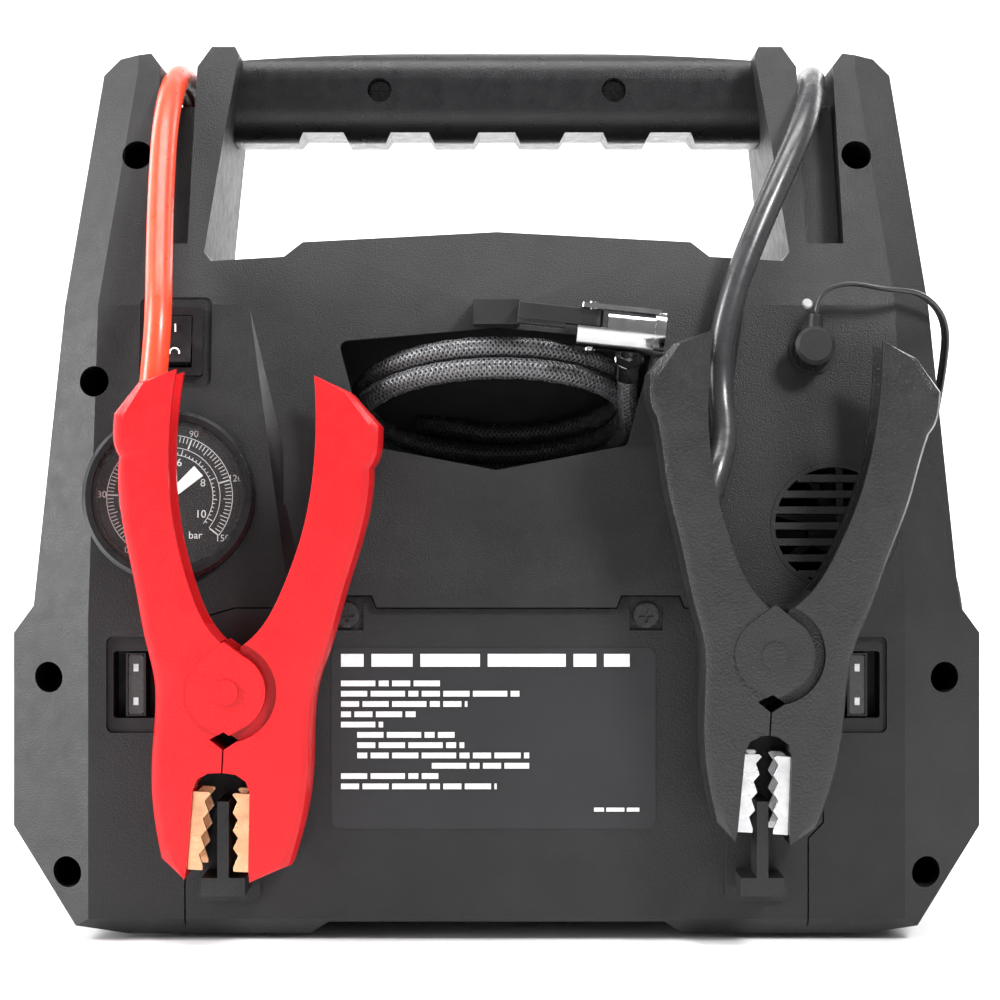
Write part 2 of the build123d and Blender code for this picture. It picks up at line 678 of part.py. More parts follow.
with BuildPart() as charger_adapter:
    with BuildSketch():
        with Locations(ADAPTER_AT):
            RectangleRounded(ADAPTER_SIZE[0], ADAPTER_SIZE[1], 6)
    extrude(amount=ADAPTER_SIZE[2])
    fillet(edges().group_by(Axis.Z)[-1], 3)
    for x in (ADAPTER_AT[0] - 6, ADAPTER_AT[0] + 6):
        with BuildSketch(Plane.XY.offset(ADAPTER_SIZE[2])):
            with Locations((x, ADAPTER_AT[1] + 10)):
                Rectangle(1.6, 6.4)
        extrude(amount=16)
    with BuildSketch(Plane.YZ.offset(ADAPTER_AT[0] + ADAPTER_SIZE[0] / 2)):
        with Locations((ADAPTER_AT[1] - 12, 6)):
            Circle(3)
    extrude(amount=6)
save(charger_adapter, "charger_adapter")
with BuildPart() as charge_led:
    with BuildSketch(rear_plane(*LED_AT, out=-4)):
        Circle(LED_R)
    extrude(amount=4)
    with BuildSketch(rear_plane(*LED_AT)):
        Circle(LED_R)
    extrude(amount=0.7, taper=30)
save(charge_led, "charge_led")

# ---------------------------------------------------------------- cooling vent and fan
with BuildPart() as vent_grille:
    with BuildSketch(rear_plane(*VENT_AT, out=-4)):
        Circle(VENT_R)
        Circle(VENT_R - 1.5, mode=Mode.SUBTRACT)
    extrude(amount=4)
    for step in range(-3, 4):
        half = sqrt(19.6**2 - (5.2 * step) ** 2)
        with BuildSketch(rear_plane(*VENT_AT, out=-3)):
            with Locations((0, 5.2 * step)):
                Rectangle(2 * half, 2.3)
        extrude(amount=3)
    with BuildSketch(rear_plane(*VENT_AT, out=-4)):
        with Locations((2, 0)):
            Rectangle(2.2, 38.6)
    extrude(amount=2)
save(vent_grille, "vent_grille")

with BuildPart() as fan_frame:
    with BuildSketch(rear_plane(*VENT_AT, out=-18)):
        RectangleRounded(43, 43, 3)
        Circle(19.8, mode=Mode.SUBTRACT)
    extrude(amount=12)
    with BuildSketch(rear_plane(*VENT_AT, out=-18)):
        Circle(8)
        Rectangle(42, 3)
        Rectangle(3, 42)
    extrude(amount=2)
save(fan_frame, "fan_frame")
with BuildPart() as fan_rotor:
    with BuildSketch(rear_plane(*VENT_AT, out=-15.6)):
        Circle(8)
    extrude(amount=9)
    for blade in range(7):
        hub = rear_plane(*VENT_AT, out=-15)
        with BuildSketch(hub):
            with Locations(Rotation(0, 0, 360 / 7 * blade)):
                Polygon((7, -1.5), (19, 2), (18.6, 4.2), (7, 1.5), align=None)
        extrude(amount=8)
save(fan_rotor, "fan_rotor")

# ---------------------------------------------------------------- fuse holders and blade fuses
with BuildPart() as fuse_holders:
    for side in (1, -1):
        with BuildSketch(Plane.XZ.offset(68)):
            with Locations((side * FUSE_AT[0], FUSE_AT[1])):
                RectangleRounded(*FUSE_HOLDER, 2)
        extrude(amount=14.5)
        with BuildSketch(Plane.XZ.offset(68)):
            with Locations((side * FUSE_AT[0], FUSE_AT[1])):
                RectangleRounded(14.4, 21.5, 1)
                Rectangle(6.4, 20.2, mode=Mode.SUBTRACT)
        extrude(amount=15, mode=Mode.SUBTRACT)
        with BuildSketch(Plane.XZ.offset(68)):
            with Locations((side * FUSE_AT[0], FUSE_AT[1])):
                Rectangle(5.0, 19.2)
        extrude(amount=15, mode=Mode.SUBTRACT)
        with BuildSketch(Plane.XZ.offset(68)):
            with Locations((side * FUSE_AT[0], FUSE_AT[1])):
                RectangleRounded(*FUSE_HOLDER, 2)
        extrude(amount=2)
save(fuse_holders, "fuse_holders")
with BuildPart() as blade_fuses:
    for side in (1, -1):
        with BuildSketch(Plane.XZ.offset(70)):
            with Locations((side * FUSE_AT[0], FUSE_AT[1])):
                RectangleRounded(4.8, 19, 0.8)
        extrude(amount=12)
save(blade_fuses, "blade_fuses")

# ---------------------------------------------------------------- inflator hose
HOSE_UP = Vector(0, sin(radians(HOSE_TILT)), cos(radians(HOSE_TILT)))
HOSE_PLANE = Plane(origin=HOSE_CENTRE, x_dir=(1, 0, 0), z_dir=HOSE_UP)
with BuildPart() as hose_coil:
    with BuildSketch(HOSE_PLANE):
        Ellipse(HOSE_SEMI[0] + HOSE_D / 2, HOSE_SEMI[1] + HOSE_D / 2)
        Ellipse(HOSE_SEMI[0] - HOSE_D / 2, HOSE_SEMI[1] - HOSE_D / 2, mode=Mode.SUBTRACT)
    extrude(amount=HOSE_D, both=True)
save(hose_coil, "hose_coil")

CHUCK_AXIS = Vector(cos(radians(CHUCK_TILT)), 0, -sin(radians(CHUCK_TILT)))
FERRULE_AXIS = Vector(0, 0.75, -0.66).normalized()
STUB_LENGTH = 8.6
FERRULE_LENGTH = 11.0
CHUCK_SIDE = Vector(*CHUCK_AT) + CHUCK_AXIS * 3.0
FERRULE_TOP = CHUCK_SIDE + FERRULE_AXIS * STUB_LENGTH
FERRULE_END = FERRULE_TOP + FERRULE_AXIS * FERRULE_LENGTH
HOSE_END_POINTS = [(43.6, -32, 166), (43.4, -47, 167.5), tuple(FERRULE_END + FERRULE_AXIS * 12),
                   tuple(FERRULE_END)]
cord(HOSE_END_POINTS, HOSE_D, "hose_end")
with BuildPart() as hose_ferrule:
    with BuildSketch(Plane(origin=FERRULE_TOP, z_dir=FERRULE_AXIS)):
        RegularPolygon(5.0, 6)
    extrude(amount=4)
    with BuildSketch(Plane(origin=FERRULE_TOP, z_dir=FERRULE_AXIS).offset(4)):
        Circle(4.6)
    extrude(amount=FERRULE_LENGTH - 4)
save(hose_ferrule, "hose_ferrule")

# ---------------------------------------------------------------- tyre chuck and its thumb lever
CHUCK_LENGTH = 28.0
CHUCK_R = 6.9
CHUCK_PLANE = Plane(origin=Vector(*CHUCK_AT) - CHUCK_AXIS * 14, x_dir=(0, -1, 0), z_dir=CHUCK_AXIS)
PIVOT_AT = Vector(*CHUCK_AT) - CHUCK_AXIS * 9.5
PIN_AXIS = Vector(sin(radians(CHUCK_TILT)), 0, cos(radians(CHUCK_TILT)))
LEVER_PLANE = Plane(origin=PIVOT_AT, x_dir=-CHUCK_AXIS, z_dir=PIN_AXIS)
LEVER_T = 5.4
LEVER_UP = 0.4
PLATE_UP = 6.1
PLATE_T = 1.5
LEVER_PIN_R = 1.3
with BuildPart() as chuck_body:
    with BuildSketch(CHUCK_PLANE):
        Circle(CHUCK_R)
    extrude(amount=CHUCK_LENGTH)
    with BuildSketch(CHUCK_PLANE.offset(CHUCK_LENGTH - 3.4)):
        Circle(CHUCK_R + 0.7)
    extrude(amount=3.4)
    with BuildSketch(Plane(origin=CHUCK_SIDE, z_dir=FERRULE_AXIS)):
        Circle(4.2)
    extrude(amount=STUB_LENGTH)
    with BuildSketch(CHUCK_PLANE.offset(12)):
        Circle(4.15)
    extrude(amount=30, mode=Mode.SUBTRACT)
    # upper left part of the barrel cut away round the lever
    with BuildSketch(CHUCK_PLANE.offset(-1)):
        with Locations((0, -CHUCK_R)):
            Rectangle(20, 2 * CHUCK_R)
    extrude(amount=10.4, mode=Mode.SUBTRACT)
    # plate over the lever, seated on top of the barrel, and the lever's riveted pin
    with BuildSketch(LEVER_PLANE.offset(PLATE_UP)):
        with Locations((-9, 0)):
            RectangleRounded(26, 10.4, 1.2)
    extrude(amount=PLATE_T)
    plate_top = PLATE_UP + PLATE_T
    for low, high, radius in ((-CHUCK_R, plate_top, LEVER_PIN_R), (plate_top, plate_top + 0.7, 1.9),
                              (-CHUCK_R - 0.5, -CHUCK_R + 1.4, 1.9)):
        with BuildSketch(LEVER_PLANE.offset(low)):
            Circle(radius)
        extrude(amount=high - low)
save(chuck_body, "chuck_body")

with BuildPart() as chuck_lever:
    with BuildSketch(LEVER_PLANE.offset(LEVER_UP)):
        Circle(3.4)
        Polygon((0, -3.4), (22, -4.4), (24, -2), (24, 4), (20, 4.4), (0, 3.4), align=None)
    extrude(amount=LEVER_T)
    # thumb wedge below the outer end
    with BuildSketch(Plane(origin=PIVOT_AT, x_dir=-CHUCK_AXIS, z_dir=(0, -1, 0))):
        Polygon((8.4, 1.0), (8.4, -4.4), (14, -4.4), (24, -1.4), (24, 1.0), align=None)
    extrude(amount=3.4, both=True)
    with BuildSketch(LEVER_PLANE):
        Circle(LEVER_PIN_R + 0.1)
    extrude(amount=10, mode=Mode.SUBTRACT)
save(chuck_lever, "chuck_lever")
print("lever pivot", PIVOT_AT, "axis", PIN_AXIS)

# ---------------------------------------------------------------- jump clamps
HEAD_EDGE = ((41.8, 85), (41.9, 79), (41.4, 75.5), (39.6, 71.8))
SIDE_EDGE = ((39.6, 71.8), (39.6, 64), (37.5, 50.5), (32.8, 32), (28.5, 14), (25.4, 3), (24.6, -8),
             (24.9, -21), (24, -36), (22, -46.5), (20.4, -53))
TIP_EDGE = ((10.2, -59), (9.6, -55), (8.9, -31))
ARCH_EDGE = ((8.9, -31), (7.6, -27.6), (4.4, -25.6), (0.25, -25.2))
DIAMOND = ((0, -12.4), (4.4, -15.0), (0, -18.2), (-4.4, -15.0))
NOTCH_EDGE = ((21.5, 99.8), (22.6, 70), (19.6, 48.7), (15, 33.8), (9, 21), (2.5, 14.2))
CHANNEL = ((21, 108), (37.4, 96), (37.6, 76), (35.4, 64), (33, 50.5), (28, 32), (23, 20), (2, 20), (2, 108))
CHANNEL_WIDE = 18.4
HUB_R = 12.0
HUB_GAP = 0.4
CHEEK_T = 3.2
DISC_UP = 1.0
PIN_R = 3.0
JAW_TOP = -31.5
JAW_BOTTOM = -56.0
TOOTH_PITCH = 5.6
TEETH = 4
OUTER_SHIFT = {"red": 2.6, "black": 0.8}
NOTCH_SHIFT = {"red": 1.4, "black": 0.8}
SHUT = {"red": 0.0, "black": 2.8}
SLIM = {"red": 0.0, "black": 1.6}
ROLL = 3.6
ROLL_STEP = (1.1, 0.9)
SPRING_ROOM_R = 8.6
NECK_ROOM = 3.2


def clamp_plane(name):
    """Front-facing plane of a clamp's middle: origin on its pivot, y along it towards the handles."""
    tilt = radians(TILT[name])
    return Plane(origin=(PIVOT[name][0], CLAMP_MID_Y, PIVOT[name][1]),
                 x_dir=(cos(tilt), 0, -sin(tilt)), z_dir=(0, -1, 0))


def handle_points(name, side, points, shift, slim=0.0):
    """Points of an arm's outline, with its handle swung out by as much as the clamp is shut."""
    swing = tan(radians(SHUT[name]))
    return [(side * (u + swing * v - slim) + shift, v) for u, v in points]


def arm_face(name, side, depth, inset):
    """One arm's outline at some depth, its outer side drawn in: head, side, tip, jaw bed, arch, notch."""
    notch = handle_points(name, side, NOTCH_EDGE, NOTCH_SHIFT[name])
    head = handle_points(name, side, HEAD_EDGE, OUTER_SHIFT[name], inset)
    outer = handle_points(name, side, SIDE_EDGE, OUTER_SHIFT[name], SLIM[name] + inset)
    outer[0] = head[-1]
    corner = handle_points(name, side, [(33.5, 95)], OUTER_SHIFT[name] / 2, inset * 0.6)
    tip = [(side * (u - SLIM[name]), v) for u, v in TIP_EDGE]
    arch = [(side * max(u - SLIM[name], 0.25), v) for u, v in ARCH_EDGE[1:]]
    with BuildSketch(clamp_plane(name).offset(depth)) as face:
        with BuildLine():
            Polyline(notch[0], *corner, head[0])
            Spline(*head)
            Spline(*outer)
            Polyline(outer[-1], *tip, *arch, (side * 0.25, 0), notch[-1])
            Spline(*reversed(notch))
        make_face()
    return face.sketch.faces()[0]


def arm(name, side, cheeks):
    """One clamp arm: a hollow handle, then cheeks round the hub or the hub itself, then the jaw bed."""
    plane = clamp_plane(name)
    clear = HUB_R + HUB_GAP
    channel = handle_points(name, side, CHANNEL, OUTER_SHIFT[name])
    half = CLAMP_T / 2
    steps = ((ROLL, 0), ROLL_STEP, (0, ROLL))
    with BuildPart() as body:
        extrude(arm_face(name, side, 0, 0), amount=half - ROLL, both=True)
        for way in (1, -1):
            loft([arm_face(name, side, way * (half - depth), inset) for depth, inset in steps], ruled=True)
        with BuildSketch(plane):
            Polygon(*channel, align=None)
        extrude(amount=CHANNEL_WIDE / 2, both=True, mode=Mode.SUBTRACT)
        if cheeks:
            with BuildSketch(plane):
                Circle(clear + NECK_ROOM)
            extrude(amount=CLAMP_T / 2 - CHEEK_T, both=True, mode=Mode.SUBTRACT)
            for out in (CLAMP_T / 2 - CHEEK_T, -CLAMP_T / 2 - DISC_UP):
                with BuildSketch(plane.offset(out)):
                    Circle(clear)
                    Polygon((-9, 8.6), (NOTCH_SHIFT[name] * side, 15.6), (9, 8.6), align=None)
                    Polygon((-8, -9.5), (0, -14.6), (8, -9.5), align=None)
                extrude(amount=CHEEK_T + DISC_UP)
            with BuildSketch(plane):
                Circle(PIN_R)
            extrude(amount=30, both=True, mode=Mode.SUBTRACT)
        else:
            for out in (CLAMP_T / 2 - CHEEK_T - HUB_GAP, -CLAMP_T / 2 - 1):
                with BuildSketch(plane.offset(out)):
                    Circle(clear + 3.4)
                extrude(amount=CHEEK_T + HUB_GAP + 1, mode=Mode.SUBTRACT)
            with BuildSketch(plane):
                Circle(HUB_R)
            extrude(amount=CLAMP_T / 2 - CHEEK_T - HUB_GAP, both=True)
            with BuildSketch(plane):
                Circle(SPRING_ROOM_R)
            extrude(amount=6.5, both=True, mode=Mode.SUBTRACT)
            with BuildSketch(plane):
                Circle(PIN_R + 0.06)
            extrude(amount=30, both=True, mode=Mode.SUBTRACT)
        with BuildSketch(plane):
            Polygon(*DIAMOND, align=None)
        extrude(amount=30, both=True, mode=Mode.SUBTRACT)
    return body


def jaw(name, side):
    """Sheet metal jaw: two toothed plates joined by a web against the arm."""
    plane = clamp_plane(name)
    shut = SLIM[name]
    teeth = []
    for tooth in range(TEETH):
        top = JAW_TOP - TOOTH_PITCH * tooth
        inner = 3.4 - shut + 0.35 * tooth
        teeth += [(inner, top - 0.6), (inner + 1.7, top - TOOTH_PITCH / 2)]
    last = 3.4 - shut + 0.35 * TEETH
    points = [(8.9 - shut, JAW_TOP), (4.2 - shut, JAW_TOP), *teeth,
              (last, JAW_BOTTOM + 1.4), (last, JAW_BOTTOM), (9.6 - shut, JAW_BOTTOM)]
    outline = [(side * u, v) for u, v in points]
    with BuildPart() as plates:
        with BuildSketch(plane):
            Polygon(*outline, align=None)
        extrude(amount=9.5, both=True)
        with BuildSketch(plane):
            Polygon((0, JAW_TOP + 1), (side * (7.6 - shut), JAW_TOP + 1),
                    (side * (7.8 - shut), JAW_BOTTOM - 1), (0, JAW_BOTTOM - 1), align=None)
        extrude(amount=8.2, both=True, mode=Mode.SUBTRACT)
    return plates


for colour in ("red", "black"):
    face = clamp_plane(colour)
    save(arm(colour, -1, True), f"{colour}_clamp_left_arm")
    save(arm(colour, 1, False), f"{colour}_clamp_right_arm")
    save(jaw(colour, -1), f"{colour}_clamp_left_jaw")
    save(jaw(colour, 1), f"{colour}_clamp_right_jaw")
    with BuildPart() as pin:
        with BuildSketch(face.offset(-CLAMP_T / 2 - DISC_UP)):
            Circle(PIN_R)
        extrude(amount=CLAMP_T + 2 * DISC_UP)
        with BuildSketch(face.offset(CLAMP_T / 2 + DISC_UP)):
            Circle(4.0)
        extrude(amount=0.8)
    save(pin, f"{colour}_clamp_pin")
    with BuildPart() as spring:
        for coil in range(5):
            ring = face.offset(-4.4 + 2.2 * coil)
            with BuildSketch(ring):
                Circle(7.4)
                Circle(5.2, mode=Mode.SUBTRACT)
            extrude(amount=1.1, both=True)
    save(spring, f"{colour}_clamp_spring")

# ---------------------------------------------------------------- jump cables
FRONT_ROUTE = ((23, 286.5), (33.5, 266), (37, 222), (57.5, 193.5), (79, 166), (91.5, 142), (91.5, 112))
RED_REAR = [(-109.6, -99, 150), (-109.6, -99, 167), (-107.8, -98.5, 184), (-107.2, -94, 201),
            (-108.6, -81, 220), (-110, -64, 245), (-110.6, -47, 269), (-109.6, -26, 286), (-108.6, -2, 288.5)]
BLACK_REAR = [(64.4, -99, 132), (68, -98.6, 146), (73.2, -89, 160), (71.8, -81, 176), (72.2, -79.5, 192),
              (77.3, -76.5, 211), (85, -71, 230), (94, -62, 249), (102.5, -51, 267), (108.3, -29, 284.5),
              (108.6, -4, 288.5)]
cord([*RED_REAR, *[(-108.4, y, z) for y, z in FRONT_ROUTE]], CABLE_D, "red_cable")
cord([*BLACK_REAR, *[(108.4, y, z) for y, z in FRONT_ROUTE]], CABLE_D, "black_cable")
with BuildPart() as cable_glands:
    for side in (1, -1):
        with BuildSketch(Plane.XY.offset(101)):
            with Locations((side * 108.4, 91.5)):
                Circle(5.6)
        with BuildSketch(Plane.XY.offset(112)):
            with Locations((side * 108.4, 91.5)):
                Circle(4.9)
        loft()
save(cable_glands, "cable_glands")

# ---------------------------------------------------------------- front controls and outlets
with BuildPart() as control_panel:
    with BuildSketch(slope_plane(-3)):
        RectangleRounded(PANEL_SIZE[0], PANEL_SIZE[1], 5)
    extrude(amount=3.6)
    with BuildSketch(slope_plane(-3)):
        for u in BUTTON_U:
            with Locations((u, -6)):
                Circle(7.3)
    extrude(amount=5, mode=Mode.SUBTRACT)
    with BuildSketch(slope_plane(0)):
        with Locations((0, 4)):
            RectangleRounded(56, 28, 3)
    extrude(amount=2, mode=Mode.SUBTRACT)
save(control_panel, "control_panel")
for name, u in (("light_button", BUTTON_U[0]), ("power_button", BUTTON_U[1])):
    with BuildPart() as button:
        with BuildSketch(slope_plane(-5)):
            with Locations((u, -6)):
                Circle(7.0)
        extrude(amount=7)
        chamfer(edges().filter_by(GeomType.CIRCLE).sort_by(Axis.Y)[-1], 0.6)
    save(button, name)

with BuildPart() as work_light:
    with BuildSketch(front_plane(0, FRONT_Y - 8, LIGHT_Z)):
        RectangleRounded(*LIGHT_SIZE, 6)
    extrude(amount=8)
save(work_light, "work_light")

with BuildPart() as usb_ports:
    with BuildSketch(front_plane(USB_X, BAND_Y - 17, OUTLET_Z)):
        RectangleRounded(*USB_SIZE, 3)
    extrude(amount=18)
    with BuildSketch(front_plane(USB_X, BAND_Y - 13, OUTLET_Z)):
        with GridLocations(19, 11, 2, 2):
            Rectangle(12.6, 5.2)
    extrude(amount=20, mode=Mode.SUBTRACT)
save(usb_ports, "usb_ports")

CAP_HINGE = (DC_X, BAND_Y + 3.0, OUTLET_Z + 17.0)
with BuildPart() as dc_socket:
    with BuildSketch(front_plane(DC_X, BAND_Y - 38, OUTLET_Z)):
        Circle(DC_R)
    extrude(amount=38)
    with BuildSketch(front_plane(DC_X, BAND_Y, OUTLET_Z)):
        Circle(15.5)
    extrude(amount=1.5)
    with BuildSketch(front_plane(DC_X, BAND_Y - 35, OUTLET_Z)):
        Circle(10.5)
    extrude(amount=40, mode=Mode.SUBTRACT)
    for side in (1, -1):
        with BuildSketch(Plane.YZ.offset(DC_X + side * 6.4)):
            with Locations((CAP_HINGE[1] - 0.7, CAP_HINGE[2])):
                Rectangle(4.6, 5)
            with Locations((CAP_HINGE[1], CAP_HINGE[2])):
                Circle(1.0, mode=Mode.SUBTRACT)
        extrude(amount=side * 2.6)
save(dc_socket, "dc_socket")
with BuildPart() as dc_cap:
    with BuildSketch(front_plane(DC_X, BAND_Y + 1.8, OUTLET_Z)):
        Circle(15)
        with Locations((0, 14)):
            Rectangle(12, 6)
    extrude(amount=2.4)
    with BuildSketch(Plane.YZ.offset(DC_X - 6)):
        with Locations((CAP_HINGE[1], CAP_HINGE[2])):
            Circle(1.6)
    extrude(amount=12)
    with BuildSketch(Plane.YZ.offset(DC_X - 9)):
        with Locations((CAP_HINGE[1], CAP_HINGE[2])):
            Circle(0.95)
    extrude(amount=18)
save(dc_cap, "dc_cap")

with BuildPart() as ac_outlet:
    with BuildSketch(front_plane(0, BAND_Y - 22, OUTLET_Z)):
        RectangleRounded(*AC_SIZE, 3)
    extrude(amount=23)
    with BuildSketch(front_plane(0, BAND_Y + 1, OUTLET_Z)):
        with Locations((-6.35, 4)):
            Rectangle(2.2, 9)
        with Locations((6.35, 4)):
            Rectangle(2.2, 7.4)
        with Locations((0, -7.5)):
            Circle(2.6)
    extrude(amount=-18, mode=Mode.SUBTRACT)
save(ac_outlet, "ac_outlet")

# ---------------------------------------------------------------- battery and electronics
with BuildPart() as battery:
    with BuildSketch(Plane.XY.offset(BATTERY_AT[2])):
        with Locations(BATTERY_AT[:2]):
            Rectangle(BATTERY_SIZE[0], BATTERY_SIZE[1])
    extrude(amount=BATTERY_SIZE[2])
    for x in (-70, 70):
        with BuildSketch(Plane.XZ.offset(-BATTERY_AT[1] - BATTERY_SIZE[1] / 2)):
            with Locations((x, 60)):
                Rectangle(14, 14)
        extrude(amount=-6)
save(battery, "battery")
with BuildPart() as inverter_board:
    with BuildSketch(Plane.XY.offset(163)):
        with Locations((0, 42)):
            Rectangle(150, 52)
    extrude(amount=1.6)
    with BuildSketch(Plane.XY.offset(164.6)):
        with Locations((-40, 40)):
            Rectangle(40, 36)
        with Locations((35, 40)):
            Rectangle(30, 30)
    extrude(amount=14)
save(inverter_board, "inverter_board")

# ---------------------------------------------------------------- air compressor
MODULE = 1.0
GEAR_R = MODULE * GEAR_TEETH / 2
PINION_R = MODULE * PINION_TEETH / 2
GEAR_PLANE = Plane.XZ.offset(18)
MOTOR_R = 14.0
MOTOR_X = GEAR_AT[0] + GEAR_R + PINION_R + 0.1


def spur(centre, teeth, pitch_r, first, thickness):
    """Simple spur gear standing in front of GEAR_PLANE, with one tooth at the angle first."""
    with BuildPart() as wheel:
        with BuildSketch(GEAR_PLANE):
            with Locations(centre):
                Circle(pitch_r - 1.1)
        extrude(amount=thickness)
        with BuildSketch(GEAR_PLANE):
            with Locations(centre):
                with PolarLocations(0, teeth, start_angle=first):
                    Polygon((pitch_r - 1.6, -0.75), (pitch_r + 0.8, -0.35), (pitch_r + 0.8, 0.35),
                            (pitch_r - 1.6, 0.75), align=None)
        extrude(amount=thickness)
    return wheel.part


GEAR_WHEEL = spur(GEAR_AT, GEAR_TEETH, GEAR_R, 180 / GEAR_TEETH, 8)
PINION_WHEEL = spur((MOTOR_X, GEAR_AT[1]), PINION_TEETH, PINION_R, 180, 8)
with BuildPart() as crank_gear:
    add(GEAR_WHEEL)
    with BuildSketch(GEAR_PLANE.offset(8)):
        with Locations((GEAR_AT[0] - CRANK_R, GEAR_AT[1])):
            Circle(2.5)
    extrude(amount=7)
    with BuildSketch(GEAR_PLANE):
        with Locations(GEAR_AT):
            Circle(SHAFT_R)
    extrude(amount=-9)
save(crank_gear, "crank_gear")
with BuildPart() as motor_pinion:
    add(PINION_WHEEL)
    with BuildSketch(GEAR_PLANE.offset(8)):
        with Locations((MOTOR_X, GEAR_AT[1])):
            Circle(1.6)
    extrude(amount=3.5)
save(motor_pinion, "motor_pinion")
with BuildPart() as compressor_motor:
    with BuildSketch(Plane.XZ.offset(27)):
        with Locations((MOTOR_X, GEAR_AT[1])):
            Circle(MOTOR_R)
    extrude(amount=37)
    with BuildSketch(Plane.XZ.offset(27)):
        with Locations((MOTOR_X, GEAR_AT[1])):
            Circle(1.66)
    extrude(amount=10, mode=Mode.SUBTRACT)
save(compressor_motor, "compressor_motor")
CYLINDER_PLANE = Plane(origin=(-52, -29.5, GEAR_AT[1]), x_dir=(0, 1, 0), z_dir=(1, 0, 0))
with BuildPart() as compressor_body:
    with BuildSketch(CYLINDER_PLANE):
        Circle(CYLINDER_R)
    extrude(amount=46)
    with BuildSketch(CYLINDER_PLANE.offset(4)):
        Circle(BORE_R)
    extrude(amount=60, mode=Mode.SUBTRACT)
    with BuildSketch(Plane.XZ.offset(9)):
        with Locations((GEAR_AT[0] - 15, GEAR_AT[1])):
            Rectangle(80, 46)
    extrude(amount=4.5)
    with BuildSketch(Plane.XZ.offset(9)):
        with Locations((-30, GEAR_AT[1])):
            Rectangle(26, 12)
    extrude(amount=9)
    with BuildSketch(Plane.XZ.offset(5)):
        with Locations(GEAR_AT):
            Circle(SHAFT_R + 0.06)
    extrude(amount=20, mode=Mode.SUBTRACT)
save(compressor_body, "compressor_body")
with BuildPart() as piston:
    with BuildSketch(CYLINDER_PLANE.offset(21)):
        Circle(BORE_R - 0.05)
    extrude(amount=12)
    with BuildSketch(CYLINDER_PLANE.offset(33)):
        Rectangle(4, 7)
    extrude(amount=26)
save(piston, "piston")
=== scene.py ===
"""Looks of the jump starter pack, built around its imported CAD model. Metres, +Z up, clamp side faces -Y."""
from math import atan2, cos, pi, radians, sin, tau

import bmesh
import bpy
from mathutils import Matrix, Vector


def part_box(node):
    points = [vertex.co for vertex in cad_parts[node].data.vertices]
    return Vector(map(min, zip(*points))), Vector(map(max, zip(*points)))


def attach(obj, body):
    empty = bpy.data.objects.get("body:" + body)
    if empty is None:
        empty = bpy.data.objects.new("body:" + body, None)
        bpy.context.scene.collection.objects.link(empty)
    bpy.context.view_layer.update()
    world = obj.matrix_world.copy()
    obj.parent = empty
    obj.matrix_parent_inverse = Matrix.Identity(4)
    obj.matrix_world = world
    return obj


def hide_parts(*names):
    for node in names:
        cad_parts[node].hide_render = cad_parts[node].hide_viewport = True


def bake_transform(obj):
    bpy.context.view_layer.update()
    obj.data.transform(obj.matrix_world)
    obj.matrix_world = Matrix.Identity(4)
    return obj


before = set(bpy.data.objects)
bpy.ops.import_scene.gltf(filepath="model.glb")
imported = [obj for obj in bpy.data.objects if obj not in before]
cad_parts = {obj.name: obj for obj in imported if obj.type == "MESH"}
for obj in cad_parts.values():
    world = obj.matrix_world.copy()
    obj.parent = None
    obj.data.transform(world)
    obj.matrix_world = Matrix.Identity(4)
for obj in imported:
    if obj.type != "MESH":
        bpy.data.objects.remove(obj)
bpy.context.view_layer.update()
MM = 0.001


# ---------------------------------------------------------------- material helpers
def new_material(name):
    """Material with a Principled shader: returns the material, its tree and the shader."""
    material = bpy.data.materials.new(name)
    material.use_nodes = True
    tree = material.node_tree
    return material, tree, tree.nodes["Principled BSDF"]


def link(tree, source, target):
    tree.links.new(source, target)


def coords(tree):
    return tree.nodes.new("ShaderNodeTexCoord").outputs["Object"]


def noise(tree, scale, detail=2.0):
    node = tree.nodes.new("ShaderNodeTexNoise")
    node.inputs["Scale"].default_value = scale
    node.inputs["Detail"].default_value = detail
    link(tree, coords(tree), node.inputs["Vector"])
    return node.outputs["Fac"]


def ramp(tree, factor, stops):
    """Colour ramp: stops are (place, grey or colour)."""
    node = tree.nodes.new("ShaderNodeValToRGB")
    elements = node.color_ramp.elements
    while len(elements) < len(stops):
        elements.new(0.5)
    for element, (place, value) in zip(elements, stops):
        element.position = place
        colour = (value, value, value) if isinstance(value, float) else value
        element.color = (*colour, 1.0)
    link(tree, factor, node.inputs["Fac"])
    return node.outputs["Color"]


def bump(tree, height, strength, distance, shader, under=None):
    node = tree.nodes.new("ShaderNodeBump")
    node.inputs["Strength"].default_value = strength
    node.inputs["Distance"].default_value = distance
    link(tree, height, node.inputs["Height"])
    if under is not None:
        link(tree, under, node.inputs["Normal"])
    link(tree, node.outputs["Normal"], shader.inputs["Normal"])
    return node.outputs["Normal"]


def plastic(name, colour, rough=0.5, grain=1900.0, depth=0.35, spread=0.12, specular=0.5):
    """Moulded plastic: spark-eroded grain, faint cloudiness and slightly uneven gloss."""
    material, tree, shader = new_material(name)
    dark = tuple(c * (1 - spread) for c in colour)
    light = tuple(c * (1 + spread) + 0.001 for c in colour)
    link(tree, ramp(tree, noise(tree, 55, 4), [(0.3, dark), (0.7, light)]), shader.inputs["Base Color"])
    gloss = ramp(tree, noise(tree, 210, 3), [(0.3, rough - 0.05), (0.7, rough + 0.07)])
    link(tree, gloss, shader.inputs["Roughness"])
    shader.inputs["Specular IOR Level"].default_value = specular
    fine = bump(tree, noise(tree, grain, 2), depth, 0.00025, shader)
    bump(tree, noise(tree, 130, 1), 0.05, 0.001, shader, fine)
    return material


